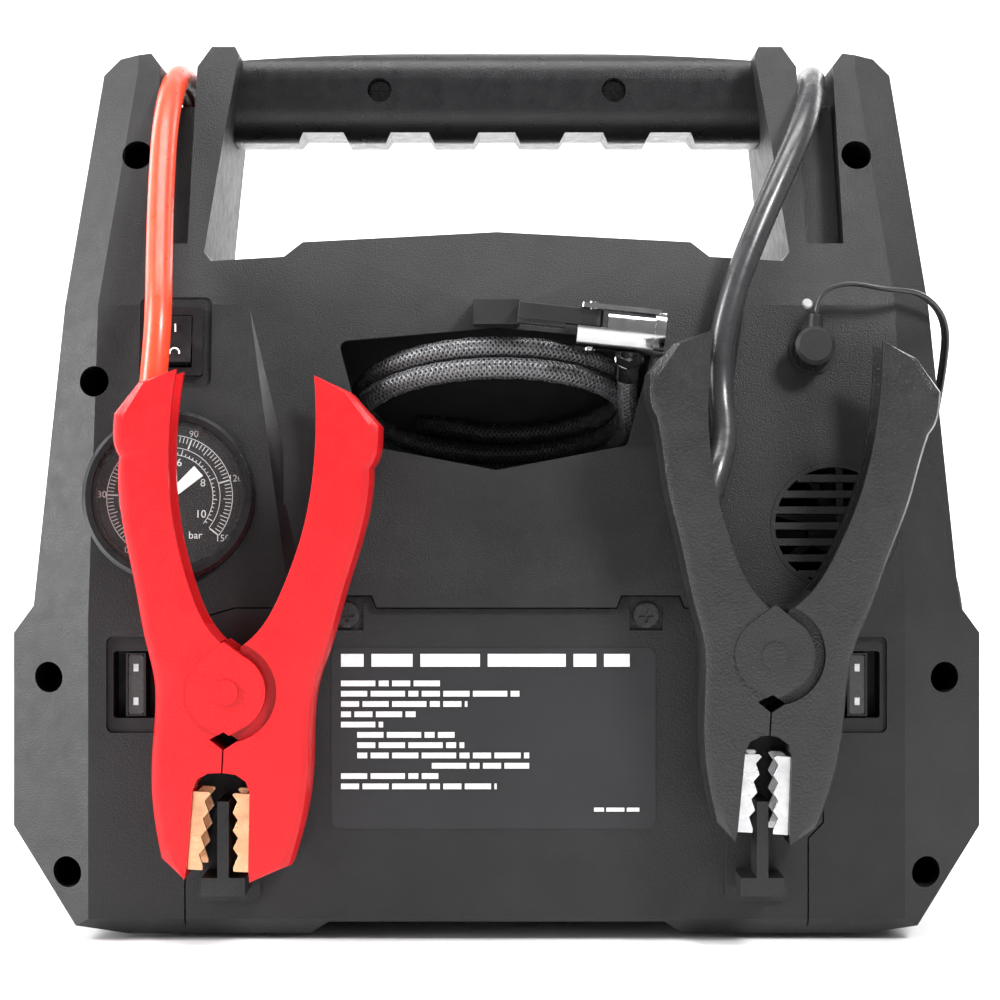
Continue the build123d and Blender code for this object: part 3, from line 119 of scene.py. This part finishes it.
def metal(name, colour, rough=0.2, brushed=0.0, tarnish=0.1):
    """Metal with faint smears; brushed above 0 deepens the fine noise bump."""
    material, tree, shader = new_material(name)
    dark = tuple(c * (1 - tarnish) for c in colour)
    link(tree, ramp(tree, noise(tree, 160, 4), [(0.35, dark), (0.65, colour)]), shader.inputs["Base Color"])
    smear = ramp(tree, noise(tree, 300, 3), [(0.3, max(0.02, rough - 0.04)), (0.75, rough + 0.08)])
    link(tree, smear, shader.inputs["Roughness"])
    shader.inputs["Metallic"].default_value = 1.0
    bump(tree, noise(tree, 900, 3), 0.12 + brushed, 0.0002, shader)
    return material


def soft_rubber(name, colour, rough=0.45, scale=700.0):
    """Silicone or rubber jacket: smooth with faint flow marks."""
    material, tree, shader = new_material(name)
    dark = tuple(c * 0.85 for c in colour)
    link(tree, ramp(tree, noise(tree, 90, 3), [(0.3, dark), (0.7, colour)]), shader.inputs["Base Color"])
    gloss = ramp(tree, noise(tree, 250, 2), [(0.3, rough - 0.08), (0.7, rough + 0.06)])
    link(tree, gloss, shader.inputs["Roughness"])
    shader.inputs["Coat Weight"].default_value = 0.15
    shader.inputs["Coat Roughness"].default_value = 0.3
    bump(tree, noise(tree, scale, 2), 0.15, 0.0002, shader)
    return material


def printed(name, colour, rough=0.6):
    """Printed ink with slightly uneven cover."""
    material, tree, shader = new_material(name)
    dark = tuple(c * 0.85 for c in colour)
    link(tree, ramp(tree, noise(tree, 800, 2), [(0.3, dark), (0.6, colour)]), shader.inputs["Base Color"])
    shader.inputs["Roughness"].default_value = rough
    shader.inputs["Specular IOR Level"].default_value = 0.12
    return material


def clear_glass(name):
    """Thin clear lens: mostly see-through with a coat of reflection."""
    material, tree, shader = new_material(name)
    link(tree, ramp(tree, noise(tree, 60, 2), [(0.3, 0.9), (0.7, 0.95)]), shader.inputs["Base Color"])
    shader.inputs["Alpha"].default_value = 0.015
    shader.inputs["Specular IOR Level"].default_value = 0.1
    shader.inputs["Roughness"].default_value = 0.05
    return material


# ---------------------------------------------------------------- materials
CASING = plastic("casing_plastic", (0.012, 0.012, 0.013), rough=0.44, grain=2100, depth=0.75, specular=0.3)
COVER = plastic("cover_plastic", (0.013, 0.013, 0.014), rough=0.44, grain=2100, depth=0.75, specular=0.3)
GRIP = plastic("grip_plastic", (0.007, 0.007, 0.008), rough=0.3, grain=2300, depth=0.5, specular=0.35)
TRIM = plastic("trim_plastic", (0.006, 0.006, 0.007), rough=0.3, grain=2600, depth=0.2)
MATT = plastic("matt_plastic", (0.009, 0.009, 0.010), rough=0.5, grain=2400, depth=0.3, specular=0.3)
LABEL = plastic("label_film", (0.018, 0.018, 0.020), rough=0.4, grain=3000, depth=0.12, spread=0.05,
                specular=0.3)
RED = plastic("red_plastic", (0.47, 0.006, 0.009), rough=0.36, grain=1700, spread=0.05, specular=0.3)
BLACK = plastic("black_clamp_plastic", (0.009, 0.009, 0.010), rough=0.34, grain=1500, depth=0.9)
GREY_BUTTON = plastic("button_plastic", (0.35, 0.35, 0.36), rough=0.5)
LAMP = plastic("lamp_lens", (0.42, 0.42, 0.41), rough=0.25, grain=600, depth=0.3)
RED_JACKET = soft_rubber("red_jacket", (0.78, 0.055, 0.018), rough=0.34)
BLACK_JACKET = soft_rubber("black_jacket", (0.028, 0.028, 0.030), rough=0.3)
LEAD_JACKET = soft_rubber("lead_jacket", (0.012, 0.012, 0.013), rough=0.4)
RUBBER = soft_rubber("rubber", (0.02, 0.02, 0.02), rough=0.7)
BRAID = plastic("hose_braid", (0.085, 0.085, 0.09), rough=0.24, grain=3000, depth=0.2, specular=0.9)
BRAID_CORE = soft_rubber("hose_core", (0.003, 0.003, 0.003), rough=0.8)
CHROME = metal("chrome", (0.50, 0.50, 0.51), rough=0.12, tarnish=0.1)
STEEL = metal("steel", (0.42, 0.42, 0.43), rough=0.35, brushed=0.2)
SCREW = metal("screw_steel", (0.05, 0.05, 0.052), rough=0.35, brushed=0.2)
COPPER = metal("copper", (0.78, 0.42, 0.24), rough=0.3, brushed=0.2, tarnish=0.25)
NICKEL = metal("nickel", (0.66, 0.66, 0.67), rough=0.3, brushed=0.2, tarnish=0.2)
CAST = metal("cast_metal", (0.45, 0.45, 0.46), rough=0.5, brushed=0.4)
DIAL = printed("dial_card", (0.005, 0.005, 0.0055), rough=0.6)
INK = printed("white_ink", (0.50, 0.50, 0.50))
LABEL_INK = printed("label_ink", (0.78, 0.78, 0.78))
NEEDLE = printed("needle_white", (0.85, 0.85, 0.84))
GLASS = clear_glass("clear_lens")
FUSE = plastic("fuse_plastic", (0.030, 0.030, 0.031), rough=0.25, grain=800, depth=0.1)
BOARD = plastic("board", (0.01, 0.08, 0.03), rough=0.4)
PANEL = plastic("panel_plastic", (0.007, 0.007, 0.008), rough=0.28, grain=900, depth=0.05, specular=0.25)

NODE_LOOKS = {
    "rear_casing": (CASING, 0.9), "front_casing": (CASING, 0.9), "battery_cover": (COVER, 0.45),
    "handle_rear": (GRIP, 0.9), "handle_front": (GRIP, 0.9), "casing_screws": (SCREW, 0.2),
    "rating_label": (LABEL, 0), "rubber_feet": (RUBBER, 0.3), "gauge_body": (TRIM, 0.4),
    "gauge_dial": (DIAL, 0), "gauge_needle": (NEEDLE, 0), "gauge_lens": (GLASS, 0),
    "switch_bezel": (TRIM, 0.4), "switch_rocker": (TRIM, 0.4), "hose_ferrule": (CHROME, 0.3),
    "chuck_body": (CHROME, 0.3), "chuck_lever": (MATT, 0.8), "charge_socket": (MATT, 0.2),
    "charge_plug": (MATT, 0.3), "charger_adapter": (MATT, 0.4), "charge_led": (LAMP, 0.1),
    "vent_grille": (CASING, 0.3), "fan_frame": (MATT, 0.3), "fan_rotor": (MATT, 0.2),
    "fuse_holders": (MATT, 0.3), "blade_fuses": (FUSE, 0.2), "cable_glands": (RUBBER, 0.3),
    "control_panel": (PANEL, 0.4), "light_button": (GREY_BUTTON, 0.2), "power_button": (GREY_BUTTON, 0.2),
    "work_light": (LAMP, 0.8), "usb_ports": (MATT, 0.3), "dc_socket": (MATT, 0.3), "dc_cap": (RUBBER, 0.3),
    "ac_outlet": (MATT, 0.3), "battery": (MATT, 0), "inverter_board": (BOARD, 0),
    "compressor_motor": (STEEL, 0), "motor_pinion": (STEEL, 0), "crank_gear": (STEEL, 0),
    "compressor_body": (CAST, 0), "piston": (CAST, 0),
}
for colour, moulding, jaw_metal in (("red", RED, COPPER), ("black", BLACK, NICKEL)):
    for part in ("left", "right"):
        NODE_LOOKS[f"{colour}_clamp_{part}_arm"] = (moulding, 1.2)
        NODE_LOOKS[f"{colour}_clamp_{part}_jaw"] = (jaw_metal, 0.15)
    NODE_LOOKS[f"{colour}_clamp_pin"] = (moulding, 0.5)
    NODE_LOOKS[f"{colour}_clamp_spring"] = (STEEL, 0)


def soften(obj, width_mm, angle=28):
    """Round the edges of a CAD node without touching its mesh: weld, bevel, then weighted normals."""
    mesh = obj.data
    custom = mesh.attributes.get("custom_normal")
    if custom:
        mesh.attributes.remove(custom)
    for polygon in mesh.polygons:
        polygon.use_smooth = True
    weld = obj.modifiers.new("weld", "WELD")
    weld.merge_threshold = 2e-6
    if width_mm:
        bevel = obj.modifiers.new("bevel", "BEVEL")
        bevel.width = width_mm * MM
        bevel.segments = 3
        bevel.limit_method = "ANGLE"
        bevel.angle_limit = radians(angle)
        bevel.use_clamp_overlap = True
        bevel.miter_outer = "MITER_ARC"
        bevel.harden_normals = False
    normals = obj.modifiers.new("normals", "WEIGHTED_NORMAL")
    normals.weight = 60
    normals.keep_sharp = True


def dress_nodes():
    for name, (material, width) in NODE_LOOKS.items():
        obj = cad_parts[name]
        obj.data.materials.clear()
        obj.data.materials.append(material)
        if width:
            soften(obj, width)


# ---------------------------------------------------------------- mesh helpers
def mesh_object(name, verts, faces, material, smooth=True):
    mesh = bpy.data.meshes.new(name)
    mesh.from_pydata([tuple(v) for v in verts], [], faces)
    mesh.update()
    for polygon in mesh.polygons:
        polygon.use_smooth = smooth
    mesh.materials.append(material)
    obj = bpy.data.objects.new(name, mesh)
    bpy.context.scene.collection.objects.link(obj)
    return obj


def spline_points(points, resolution=8):
    """Points read along the NURBS spline that has these control points."""
    curve = bpy.data.curves.new("route", "CURVE")
    curve.dimensions = "3D"
    curve.resolution_u = resolution
    spline = curve.splines.new("NURBS")
    spline.points.add(len(points) - 1)
    for target, point in zip(spline.points, points):
        target.co = (*point, 1.0)
    spline.order_u = 3
    spline.use_endpoint_u = True
    holder = bpy.data.objects.new("route", curve)
    bpy.context.scene.collection.objects.link(holder)
    mesh = bpy.data.meshes.new_from_object(holder)
    line = [v.co.copy() for v in mesh.vertices]
    bpy.data.objects.remove(holder)
    bpy.data.curves.remove(curve)
    bpy.data.meshes.remove(mesh)
    return line


def travel_frames(line):
    """For each point of a line: the point and two cross directions that don't twist."""
    frames = []
    up = Vector((0.123, 0.456, 0.88)).normalized()
    for i, point in enumerate(line):
        ahead = line[min(i + 1, len(line) - 1)] - line[max(i - 1, 0)]
        tangent = ahead.normalized()
        side = (up - tangent * up.dot(tangent)).normalized()
        up = side
        frames.append((point, side, tangent.cross(side)))
    return frames


def sweep(name, line, section, material):
    """Closed tube of any section (list of 2-D points in metres) along a line."""
    verts, faces = [], []
    count = len(section)
    for point, side, other in travel_frames(line):
        for a, b in section:
            verts.append(point + side * a + other * b)
    for i in range(len(line) - 1):
        for j in range(count):
            k = (j + 1) % count
            faces.append((i * count + j, i * count + k, (i + 1) * count + k, (i + 1) * count + j))
    faces.append(tuple(reversed(range(count))))
    faces.append(tuple((len(line) - 1) * count + j for j in range(count)))
    return mesh_object(name, verts, faces, material)


def circle(radius, count=20):
    return [(radius * cos(tau * i / count), radius * sin(tau * i / count)) for i in range(count)]


def metres(points):
    return [Vector(p) * MM for p in points]


def face_matrix(origin, lean):
    """Axes on a leaning rear face: x to the right, y up the face, z out of it."""
    x = Vector((1, 0, 0))
    z = Vector((0, -cos(lean), sin(lean)))
    y = z.cross(x)
    turn = Matrix((x, y, z)).transposed().to_4x4()
    return Matrix.Translation(origin) @ turn


def join_shapes(name, shapes, place, material, body="root", depth=0.00008):
    """One piece made of many flat outlines, such as the ticks of a dial."""
    verts, faces = [], []
    for outline in shapes:
        start = len(verts)
        count = len(outline)
        verts += [place @ Vector((x, y, 0)) for x, y in outline]
        verts += [place @ Vector((x, y, depth)) for x, y in outline]
        faces.append(tuple(start + count + i for i in range(count)))
        faces.append(tuple(start + i for i in reversed(range(count))))
        for i in range(count):
            j = (i + 1) % count
            faces.append((start + i, start + j, start + count + j, start + count + i))
    obj = mesh_object(name, verts, faces, material, smooth=False)
    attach(obj, body)
    return obj


def rectangle(x, y, width, height, turn=0.0):
    """Outline of a turned rectangle centred on x, y."""
    corners = ((-0.5, -0.5), (0.5, -0.5), (0.5, 0.5), (-0.5, 0.5))
    c, s = cos(turn), sin(turn)
    return [(x + c * a * width - s * b * height, y + s * a * width + c * b * height) for a, b in corners]


def lettering(name, items, place, material, body="root", depth=0.00008):
    """Generic numbers and unit words: items are (text, x, y, height)."""
    parts = []
    for text, x, y, height in items:
        curve = bpy.data.curves.new(name, "FONT")
        curve.body = text
        curve.size = height
        curve.align_x = "CENTER"
        curve.align_y = "CENTER"
        curve.extrude = depth / 2
        curve.resolution_u = 3
        holder = bpy.data.objects.new(name + "_text", curve)
        bpy.context.scene.collection.objects.link(holder)
        bpy.context.view_layer.update()
        mesh = bpy.data.meshes.new_from_object(holder)
        mesh.transform(place @ Matrix.Translation((x, y, depth / 2)))
        bpy.data.objects.remove(holder)
        bpy.data.curves.remove(curve)
        parts.append(mesh)
    joined = bmesh.new()
    for mesh in parts:
        joined.from_mesh(mesh)
        bpy.data.meshes.remove(mesh)
    data = bpy.data.meshes.new(name)
    joined.to_mesh(data)
    joined.free()
    data.materials.clear()
    data.materials.append(material)
    obj = bpy.data.objects.new(name, data)
    bpy.context.scene.collection.objects.link(obj)
    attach(obj, body)
    return obj


# ---------------------------------------------------------------- camera, light and floor
def set_stage():
    """Camera at the photographed angle, curved pale floor, soft lights and a grey world."""
    camera_data = bpy.data.cameras.new("camera")
    camera_data.lens = 101.0
    camera_data.sensor_width = 36.0
    camera = bpy.data.objects.new("camera", camera_data)
    camera.location = (0.0011, -0.984, 0.1414)
    camera.rotation_euler = (radians(90), 0, 0)
    bpy.context.scene.collection.objects.link(camera)
    bpy.context.scene.camera = camera

    floor_material, tree, shader = new_material("floor")
    link(tree, ramp(tree, noise(tree, 4, 2), [(0.3, 0.84), (0.7, 0.87)]), shader.inputs["Base Color"])
    shader.inputs["Roughness"].default_value = 0.8
    half, front, back, tall, bend = 3.0, -3.0, 2.2, 3.0, 0.5
    profile = [(front, 0.0), (back - bend, 0.0)]
    profile += [(back - bend + bend * sin(a), bend - bend * cos(a)) for a in (0.3, 0.6, 0.9, 1.2, 1.5)]
    profile += [(back, tall)]
    verts = [(x, y, z) for y, z in profile for x in (-half, half)]
    faces = [(2 * i, 2 * i + 1, 2 * i + 3, 2 * i + 2) for i in range(len(profile) - 1)]
    floor = mesh_object("floor", verts, faces, floor_material)
    floor.location.z = -0.0002

    def area(name, place, target, size, power):
        data = bpy.data.lights.new(name, "AREA")
        data.shape = "RECTANGLE"
        data.size, data.size_y = size
        data.energy = power
        obj = bpy.data.objects.new(name, data)
        obj.location = place
        obj.rotation_euler = (Vector(target) - Vector(place)).to_track_quat("-Z", "Y").to_euler()
        bpy.context.scene.collection.objects.link(obj)

    area("key", (0.80, -1.0, 1.15), (0, -0.05, 0.15), (0.32, 0.32), 25)
    area("left_side", (-1.25, -0.45, 0.55), (-0.05, -0.08, 0.15), (0.4, 1.1), 36)
    area("top", (0.0, -0.25, 1.4), (0, 0, 0.2), (1.0, 0.4), 14)
    area("back_left", (-1.0, 0.9, 0.9), (0, 0, 0.2), (0.8, 0.8), 12)
    area("back_right", (1.0, 0.9, 0.9), (0, 0, 0.2), (0.8, 0.8), 12)
    area("backdrop", (0, 0.9, 1.6), (0, 2.2, 0.5), (2.4, 0.6), 60)
    world = bpy.data.worlds.new("world")
    world.use_nodes = True
    world.node_tree.nodes["Background"].inputs["Color"].default_value = (1, 1, 1, 1)
    world.node_tree.nodes["Background"].inputs["Strength"].default_value = 0.34
    bpy.context.scene.view_settings.view_transform = "Standard"
    bpy.context.scene.world = world


# ---------------------------------------------------------------- cords
CABLE_D = 8.7
GLAND_X = 108.4
FRONT_ROUTE = ((23, 286.5), (33.5, 266), (37, 222), (57.5, 193.5), (79, 166), (91.5, 142), (91.5, 112))
RED_REAR = [(-109.6, -99, 150), (-109.6, -99, 167), (-107.8, -98.5, 184), (-107.2, -94, 201),
            (-108.6, -81, 220), (-110, -64, 245), (-110.6, -47, 269), (-109.6, -26, 286),
            (-108.6, -2, 288.5)]
BLACK_REAR = [(64.4, -99, 132), (68, -98.6, 146), (73.2, -89, 160), (71.8, -81, 176), (72.2, -79.5, 192),
              (77.3, -76.5, 211), (85, -71, 230), (94, -62, 249), (102.5, -51, 267), (108.3, -29, 284.5),
              (108.6, -4, 288.5)]


def jump_cable(colour, rear, side, material):
    """One jump cable, from its gland on the front over the saddle and into its clamp."""
    route = metres([*rear, *[(side * GLAND_X, y, z) for y, z in FRONT_ROUTE]])
    line = spline_points(list(reversed(route)), 10)
    cable = sweep(f"{colour}_jump_cable", line, circle(CABLE_D / 2 * MM, 28), material)
    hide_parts(f"{colour}_cable")
    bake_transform(cable)
    return cable


HOSE_D = 7.3
HOSE_CENTRE = Vector((-1.3, -42.0, 172.5))
HOSE_SEMI = (45.6, 36.5)
HOSE_TILT = radians(25)
HOSE_TURNS = 2.25
HOSE_STEPS = 18
HOSE_RISE = 1.02
CORE_R = HOSE_D / 2 - 0.6
FERRULE_END = Vector((42.98, -67.79, 182.52))
FERRULE_AXIS = Vector((0, 0.75, -0.66)).normalized()


def hose_route():
    """Control points of the hose: off the bay's back wall, two and a quarter turns, then the ferrule."""
    across = Vector((1, 0, 0))
    deep = Vector((0, cos(HOSE_TILT), -sin(HOSE_TILT)))
    up = Vector((0, sin(HOSE_TILT), cos(HOSE_TILT)))
    points = [Vector((-27, 2.5, 168)), Vector((-14, -3.5, 166.5))]
    for i in range(int(HOSE_TURNS * HOSE_STEPS) + 1):
        turns = i / HOSE_STEPS
        angle = pi / 2 - tau * turns
        wobble = 0.5 * sin(5.0 * turns)
        points.append(HOSE_CENTRE + across * (HOSE_SEMI[0] + wobble) * cos(angle)
                      + deep * (HOSE_SEMI[1] - wobble) * sin(angle) + up * HOSE_D * HOSE_RISE * (1 - turns))
    points.pop()
    points += [Vector((44.8, -45, 165)), Vector((44.6, -54, 166.4)), FERRULE_END + FERRULE_AXIS * 9.0,
               FERRULE_END]
    return [p * MM for p in points]


def braided_hose():
    """The inflator hose: a dark core with a woven sleeve round it."""
    line = spline_points(hose_route(), 6)
    hose = sweep("inflator_hose", line, circle(CORE_R * MM, 16), BRAID_CORE)
    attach(hose, "root")
    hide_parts("hose_coil", "hose_end")
    braid = braid_over("hose_braid_sleeve", line)
    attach(braid, "root")


def braid_over(name, line, carriers=9, pitch=0.0150):
    """Woven sleeve: flat bands that spiral both ways and pass over and under each other."""
    frames = travel_frames(line)
    reach = [0.0]
    for a, b in zip(line, line[1:]):
        reach.append(reach[-1] + (b - a).length)
    total = reach[-1]
    steps = int(total / pitch * 20)
    verts, faces = [], []
    half_width = 0.00036
    relief = 0.00030
    crown = 0.00026
    radius = (HOSE_D / 2 - 0.45) * MM
    places = []
    index = 0
    for i in range(steps + 1):
        goal = total * i / steps
        while index < len(reach) - 2 and reach[index + 1] < goal:
            index += 1
        share = (goal - reach[index]) / max(1e-9, reach[index + 1] - reach[index])
        p0, s0, o0 = frames[index]
        p1, s1, o1 = frames[index + 1]
        tangent = (line[index + 1] - line[index]).normalized()
        side = s0.lerp(s1, share).normalized()
        places.append((goal, p0.lerp(p1, share), side, o0.lerp(o1, share).normalized(), tangent))
    for hand in (1, -1):
        for carrier in range(carriers):
            phase = tau * carrier / carriers
            for i, (goal, point, side, other, tangent) in enumerate(places):
                angle = phase + hand * tau * goal / pitch
                weave = sin(tau * goal / pitch * carriers + (0 if hand > 0 else pi))
                out = side * cos(angle) + other * sin(angle)
                around = (other * cos(angle) - side * sin(angle)) * hand
                run = (tangent * pitch + around * tau * radius).normalized()
                flat = out.cross(run).normalized()
                lift = radius + relief * weave
                start = len(verts)
                verts.append(point + out * lift + flat * half_width)
                verts.append(point + out * (lift + crown))
                verts.append(point + out * lift - flat * half_width)
                if i:
                    before = start - 3
                    faces.append((before, start, start + 1, before + 1))
                    faces.append((before + 1, start + 1, start + 2, before + 2))
    return mesh_object(name, verts, faces, BRAID)


LEAD_D = 3.0
LEAD_ROUTE = [(103.15, -77.62, 200.5), (103.4, -78, 208), (113, -78, 212), (126, -77, 209.5),
              (139, -71, 209), (148.5, -60, 200), (149, -46, 184), (147.5, -33, 166), (149.5, -22, 145),
              (155, -13, 125), (161.5, -7, 104), (162.5, -2, 78), (162.2, 5, 50), (162, 15, 22),
              (161, 31, 4.5), (158.5, 54, 2), (158, 84, LEAD_D / 2), (154, 110, LEAD_D / 2),
              (143, 130, LEAD_D / 2), (124, 142, LEAD_D / 2)]
COIL_AT = Vector((96.0, 165.0, 0))


def lead_route():
    """The charging lead: over the right side, down to the floor, a flat coil of two layers, the adapter."""
    points = [Vector(p) for p in LEAD_ROUTE]
    steps, turns, outer, inner, layer = 16, 3, 21.2, 12.0, 3.15
    for i in range(2 * turns * steps + 1):
        turn = i / steps
        inward = turn <= turns
        share = turn / turns if inward else 2 - turn / turns
        radius = outer + (inner - outer) * share
        climb = min(1.0, max(0.0, (turn - turns) * 4 + 0.5))
        angle = -pi / 2 - tau * turn
        height = LEAD_D / 2 + layer * climb
        points.append(COIL_AT + Vector((radius * cos(angle), radius * sin(angle), height)))
    points += [Vector((86, 145, 5.2)), Vector((79, 149.6, 6)), Vector((73.2, 150, 6))]
    return [p * MM for p in points]


def charger_lead():
    """The charging lead, two joined round cores."""
    line = spline_points(lead_route(), 6)
    lobe = [(0.75 + 0.75 * cos(a), 0.75 * sin(a)) for a in (radians(d) for d in range(-140, 141, 35))]
    section = [(x * MM, y * MM) for x, y in lobe] + [(-x * MM, -y * MM) for x, y in lobe]
    lead = sweep("charging_lead", line, section, LEAD_JACKET)
    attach(lead, "root")
    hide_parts("charger_lead", "charger_coil")


# ---------------------------------------------------------------- gauge
LEAN_FOOT = (-84.0, 104.0)
LEAN_RISE = (15.2, 101.0)
REAR_LEAN = atan2(*LEAN_RISE)
SWITCH_AT = (-104.5, 192.9)
DIAL_START = 232.0
DIAL_SWEEP = 270.0
DIAL_FULL = 150.0
PSI_PER_BAR = 14.504
TICK_OUTER = 20.0
BAR_TICK_INNER = 14.1
PSI_NUMBER_R = 21.9
BAR_NUMBER_R = 11.6


def face_y(z):
    """Y of the leaning rear face at a height, both in millimetres."""
    return LEAN_FOOT[0] + (z - LEAN_FOOT[1]) * LEAN_RISE[0] / LEAN_RISE[1]


def node_middle(name):
    """Middle of a CAD node's box at rest."""
    low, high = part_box(name)
    return (low + high) / 2


def gauge_details():
    """Ticks, rings and figures of the dial: an outer psi scale and an inner bar scale."""
    lens = node_middle("gauge_lens")
    out = Vector((0, -cos(REAR_LEAN), sin(REAR_LEAN)))
    place = face_matrix(lens - out * 0.0032, REAR_LEAN)

    def angle(psi):
        return radians(DIAL_START - psi / DIAL_FULL * DIAL_SWEEP)

    ticks = []
    for step in range(76):
        psi = step * 2
        a = angle(psi)
        long = step % 15 == 0
        middle = step % 5 == 0
        inner = 16.6 if long else (17.4 if middle else 18.1)
        width = 0.45 if long else 0.25
        r = (inner + TICK_OUTER) / 2
        ticks.append(rectangle(r * cos(a) * MM, r * sin(a) * MM, (TICK_OUTER - inner) * MM, width * MM, a))
    for step in range(0, 52):
        a = angle(step * 0.2 * PSI_PER_BAR)
        long = step % 10 == 0
        outer = 15.9 if long else (15.3 if step % 5 == 0 else 14.8)
        r = (outer + BAR_TICK_INNER) / 2
        tall = (outer - BAR_TICK_INNER) * MM
        ticks.append(rectangle(r * cos(a) * MM, r * sin(a) * MM, tall, 0.25 * MM, a))
    join_shapes("gauge_ticks", ticks, place, INK)
    rings = []
    for radius, width in ((20.3, 0.25), (16.3, 0.2), (14.0, 0.2)):
        steps = 72
        for i in range(steps):
            a0 = radians(DIAL_START - DIAL_SWEEP * i / steps)
            a1 = radians(DIAL_START - DIAL_SWEEP * (i + 1) / steps)
            r0, r1 = (radius - width / 2) * MM, (radius + width / 2) * MM
            rings.append([(r0 * cos(a1), r0 * sin(a1)), (r1 * cos(a1), r1 * sin(a1)),
                          (r1 * cos(a0), r1 * sin(a0)), (r0 * cos(a0), r0 * sin(a0))])
    join_shapes("gauge_rings", rings, place, INK)
    numbers = []
    for value in range(0, 151, 30):
        a = angle(value)
        numbers.append((str(value), PSI_NUMBER_R * cos(a) * MM, PSI_NUMBER_R * sin(a) * MM, 0.0031))
    for value in range(2, 11, 2):
        a = angle(value * PSI_PER_BAR)
        numbers.append((str(value), BAR_NUMBER_R * cos(a) * MM, BAR_NUMBER_R * sin(a) * MM, 0.0036))
    numbers.append(("bar", 0.0085, -0.0125, 0.0034))
    numbers.append(("psi", 0.0, -0.0185, 0.0030))
    lettering("gauge_numbers", numbers, place, INK)


# ---------------------------------------------------------------- label, switch marks, fuses
LABEL_ROWS = (
    (51.5, 5.0, 0.03, 0.92), (45.5, 2.2, 0.03, 0.34), (42.2, 2.2, 0.03, 0.58), (38.9, 2.2, 0.03, 0.42),
    (35.6, 2.2, 0.03, 0.26), (32.3, 2.2, 0.03, 0.16), (29.0, 2.2, 0.08, 0.38), (25.7, 2.2, 0.08, 0.41),
    (22.4, 2.2, 0.08, 0.61), (19.1, 2.2, 0.31, 0.61), (15.8, 2.2, 0.03, 0.33), (12.5, 2.2, 0.03, 0.51),
    (5.4, 1.5, 0.81, 0.95),
)
WORD_SHORTEST = 3.2
WORD_STEP = 2.6
WORD_GAP = 0.0011


def label_details():
    """Plain bars in place of the label's lines of print: a row is (height, bar height, left, right)."""
    low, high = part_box("rating_label")
    place = Matrix.Translation((low.x, low.y, low.z)) @ face_matrix(Vector((0, 0, 0)), 0.0)
    width = high.x - low.x
    bars = []
    for row, (height, tall, left, right) in enumerate(LABEL_ROWS):
        x = left * width
        scale = tall / 2.2
        step = 0
        while x < right * width - 0.0006:
            word = (WORD_SHORTEST + WORD_STEP * ((row * 7 + step * 5) % 4)) * MM
            word = min(word * (scale if row == 0 else 1), right * width - x)
            bars.append(rectangle(x + word / 2, height * MM + tall * MM / 2, word, tall * MM * 0.82))
            x += word + WORD_GAP * scale
            step += 1
    place = place @ Matrix.Translation((0, 0, 0.00027))
    join_shapes("label_print", bars, place, LABEL_INK, depth=0.00006)


def fuse_details():
    """Bare metal test points on the face of each blade fuse, two a fuse."""
    low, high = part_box("blade_fuses")
    middle = (low.z + high.z) / 2
    reach = (high.x - low.x) / 2 - 0.0024
    dots = [rectangle(side * reach, middle + step * 0.0054, 0.0016, 0.0024)
            for side in (-1, 1) for step in (-1, 1)]
    place = Matrix.Translation((0, low.y - 0.00002, 0)) @ face_matrix(Vector((0, 0, 0)), 0.0)
    join_shapes("fuse_test_points", dots, place, NICKEL, depth=0.00012)


def switch_details():
    """The I and O marks on the two halves of the rocker, on planes that follow its shallow V."""
    rest = radians(8.0)
    valley, wing, half_length, mark_at = 2.0, 1.6, 7.9, 4.1
    for half, mark in ((1, "I"), (-1, "O")):
        lean = REAR_LEAN - rest - half * atan2(wing, half_length)
        up = Vector((0, sin(REAR_LEAN), cos(REAR_LEAN)))
        out = Vector((0, -cos(REAR_LEAN), sin(REAR_LEAN)))
        tip = up * half * mark_at * MM
        rise = (valley + wing * mark_at / half_length - half * mark_at * sin(rest) - 1.0 + 0.12) * MM
        face = Vector((SWITCH_AT[0], face_y(SWITCH_AT[1]), SWITCH_AT[1])) * MM
        centre = face + tip + out * rise
        place = face_matrix(centre, lean)
        if mark == "I":
            join_shapes("switch_on_mark", [rectangle(0, 0, 0.5 * MM, 3.2 * MM)], place, NEEDLE,
                        body="switch_rocker", depth=0.00012)
            continue
        ring = []
        for i in range(24):
            a0, a1 = tau * i / 24, tau * (i + 1) / 24
            r0, r1 = 1.3 * MM, 1.8 * MM
            ring.append([(r0 * cos(a0), r0 * sin(a0)), (r1 * cos(a0), r1 * sin(a0)),
                         (r1 * cos(a1), r1 * sin(a1)), (r0 * cos(a1), r0 * sin(a1))])
        join_shapes("switch_off_mark", ring, place, NEEDLE, body="switch_rocker", depth=0.00012)


set_stage()
jump_cable("red", RED_REAR, -1, RED_JACKET)
jump_cable("black", BLACK_REAR, 1, BLACK_JACKET)
braided_hose()
charger_lead()
dress_nodes()
gauge_details()
label_details()
fuse_details()
switch_details()
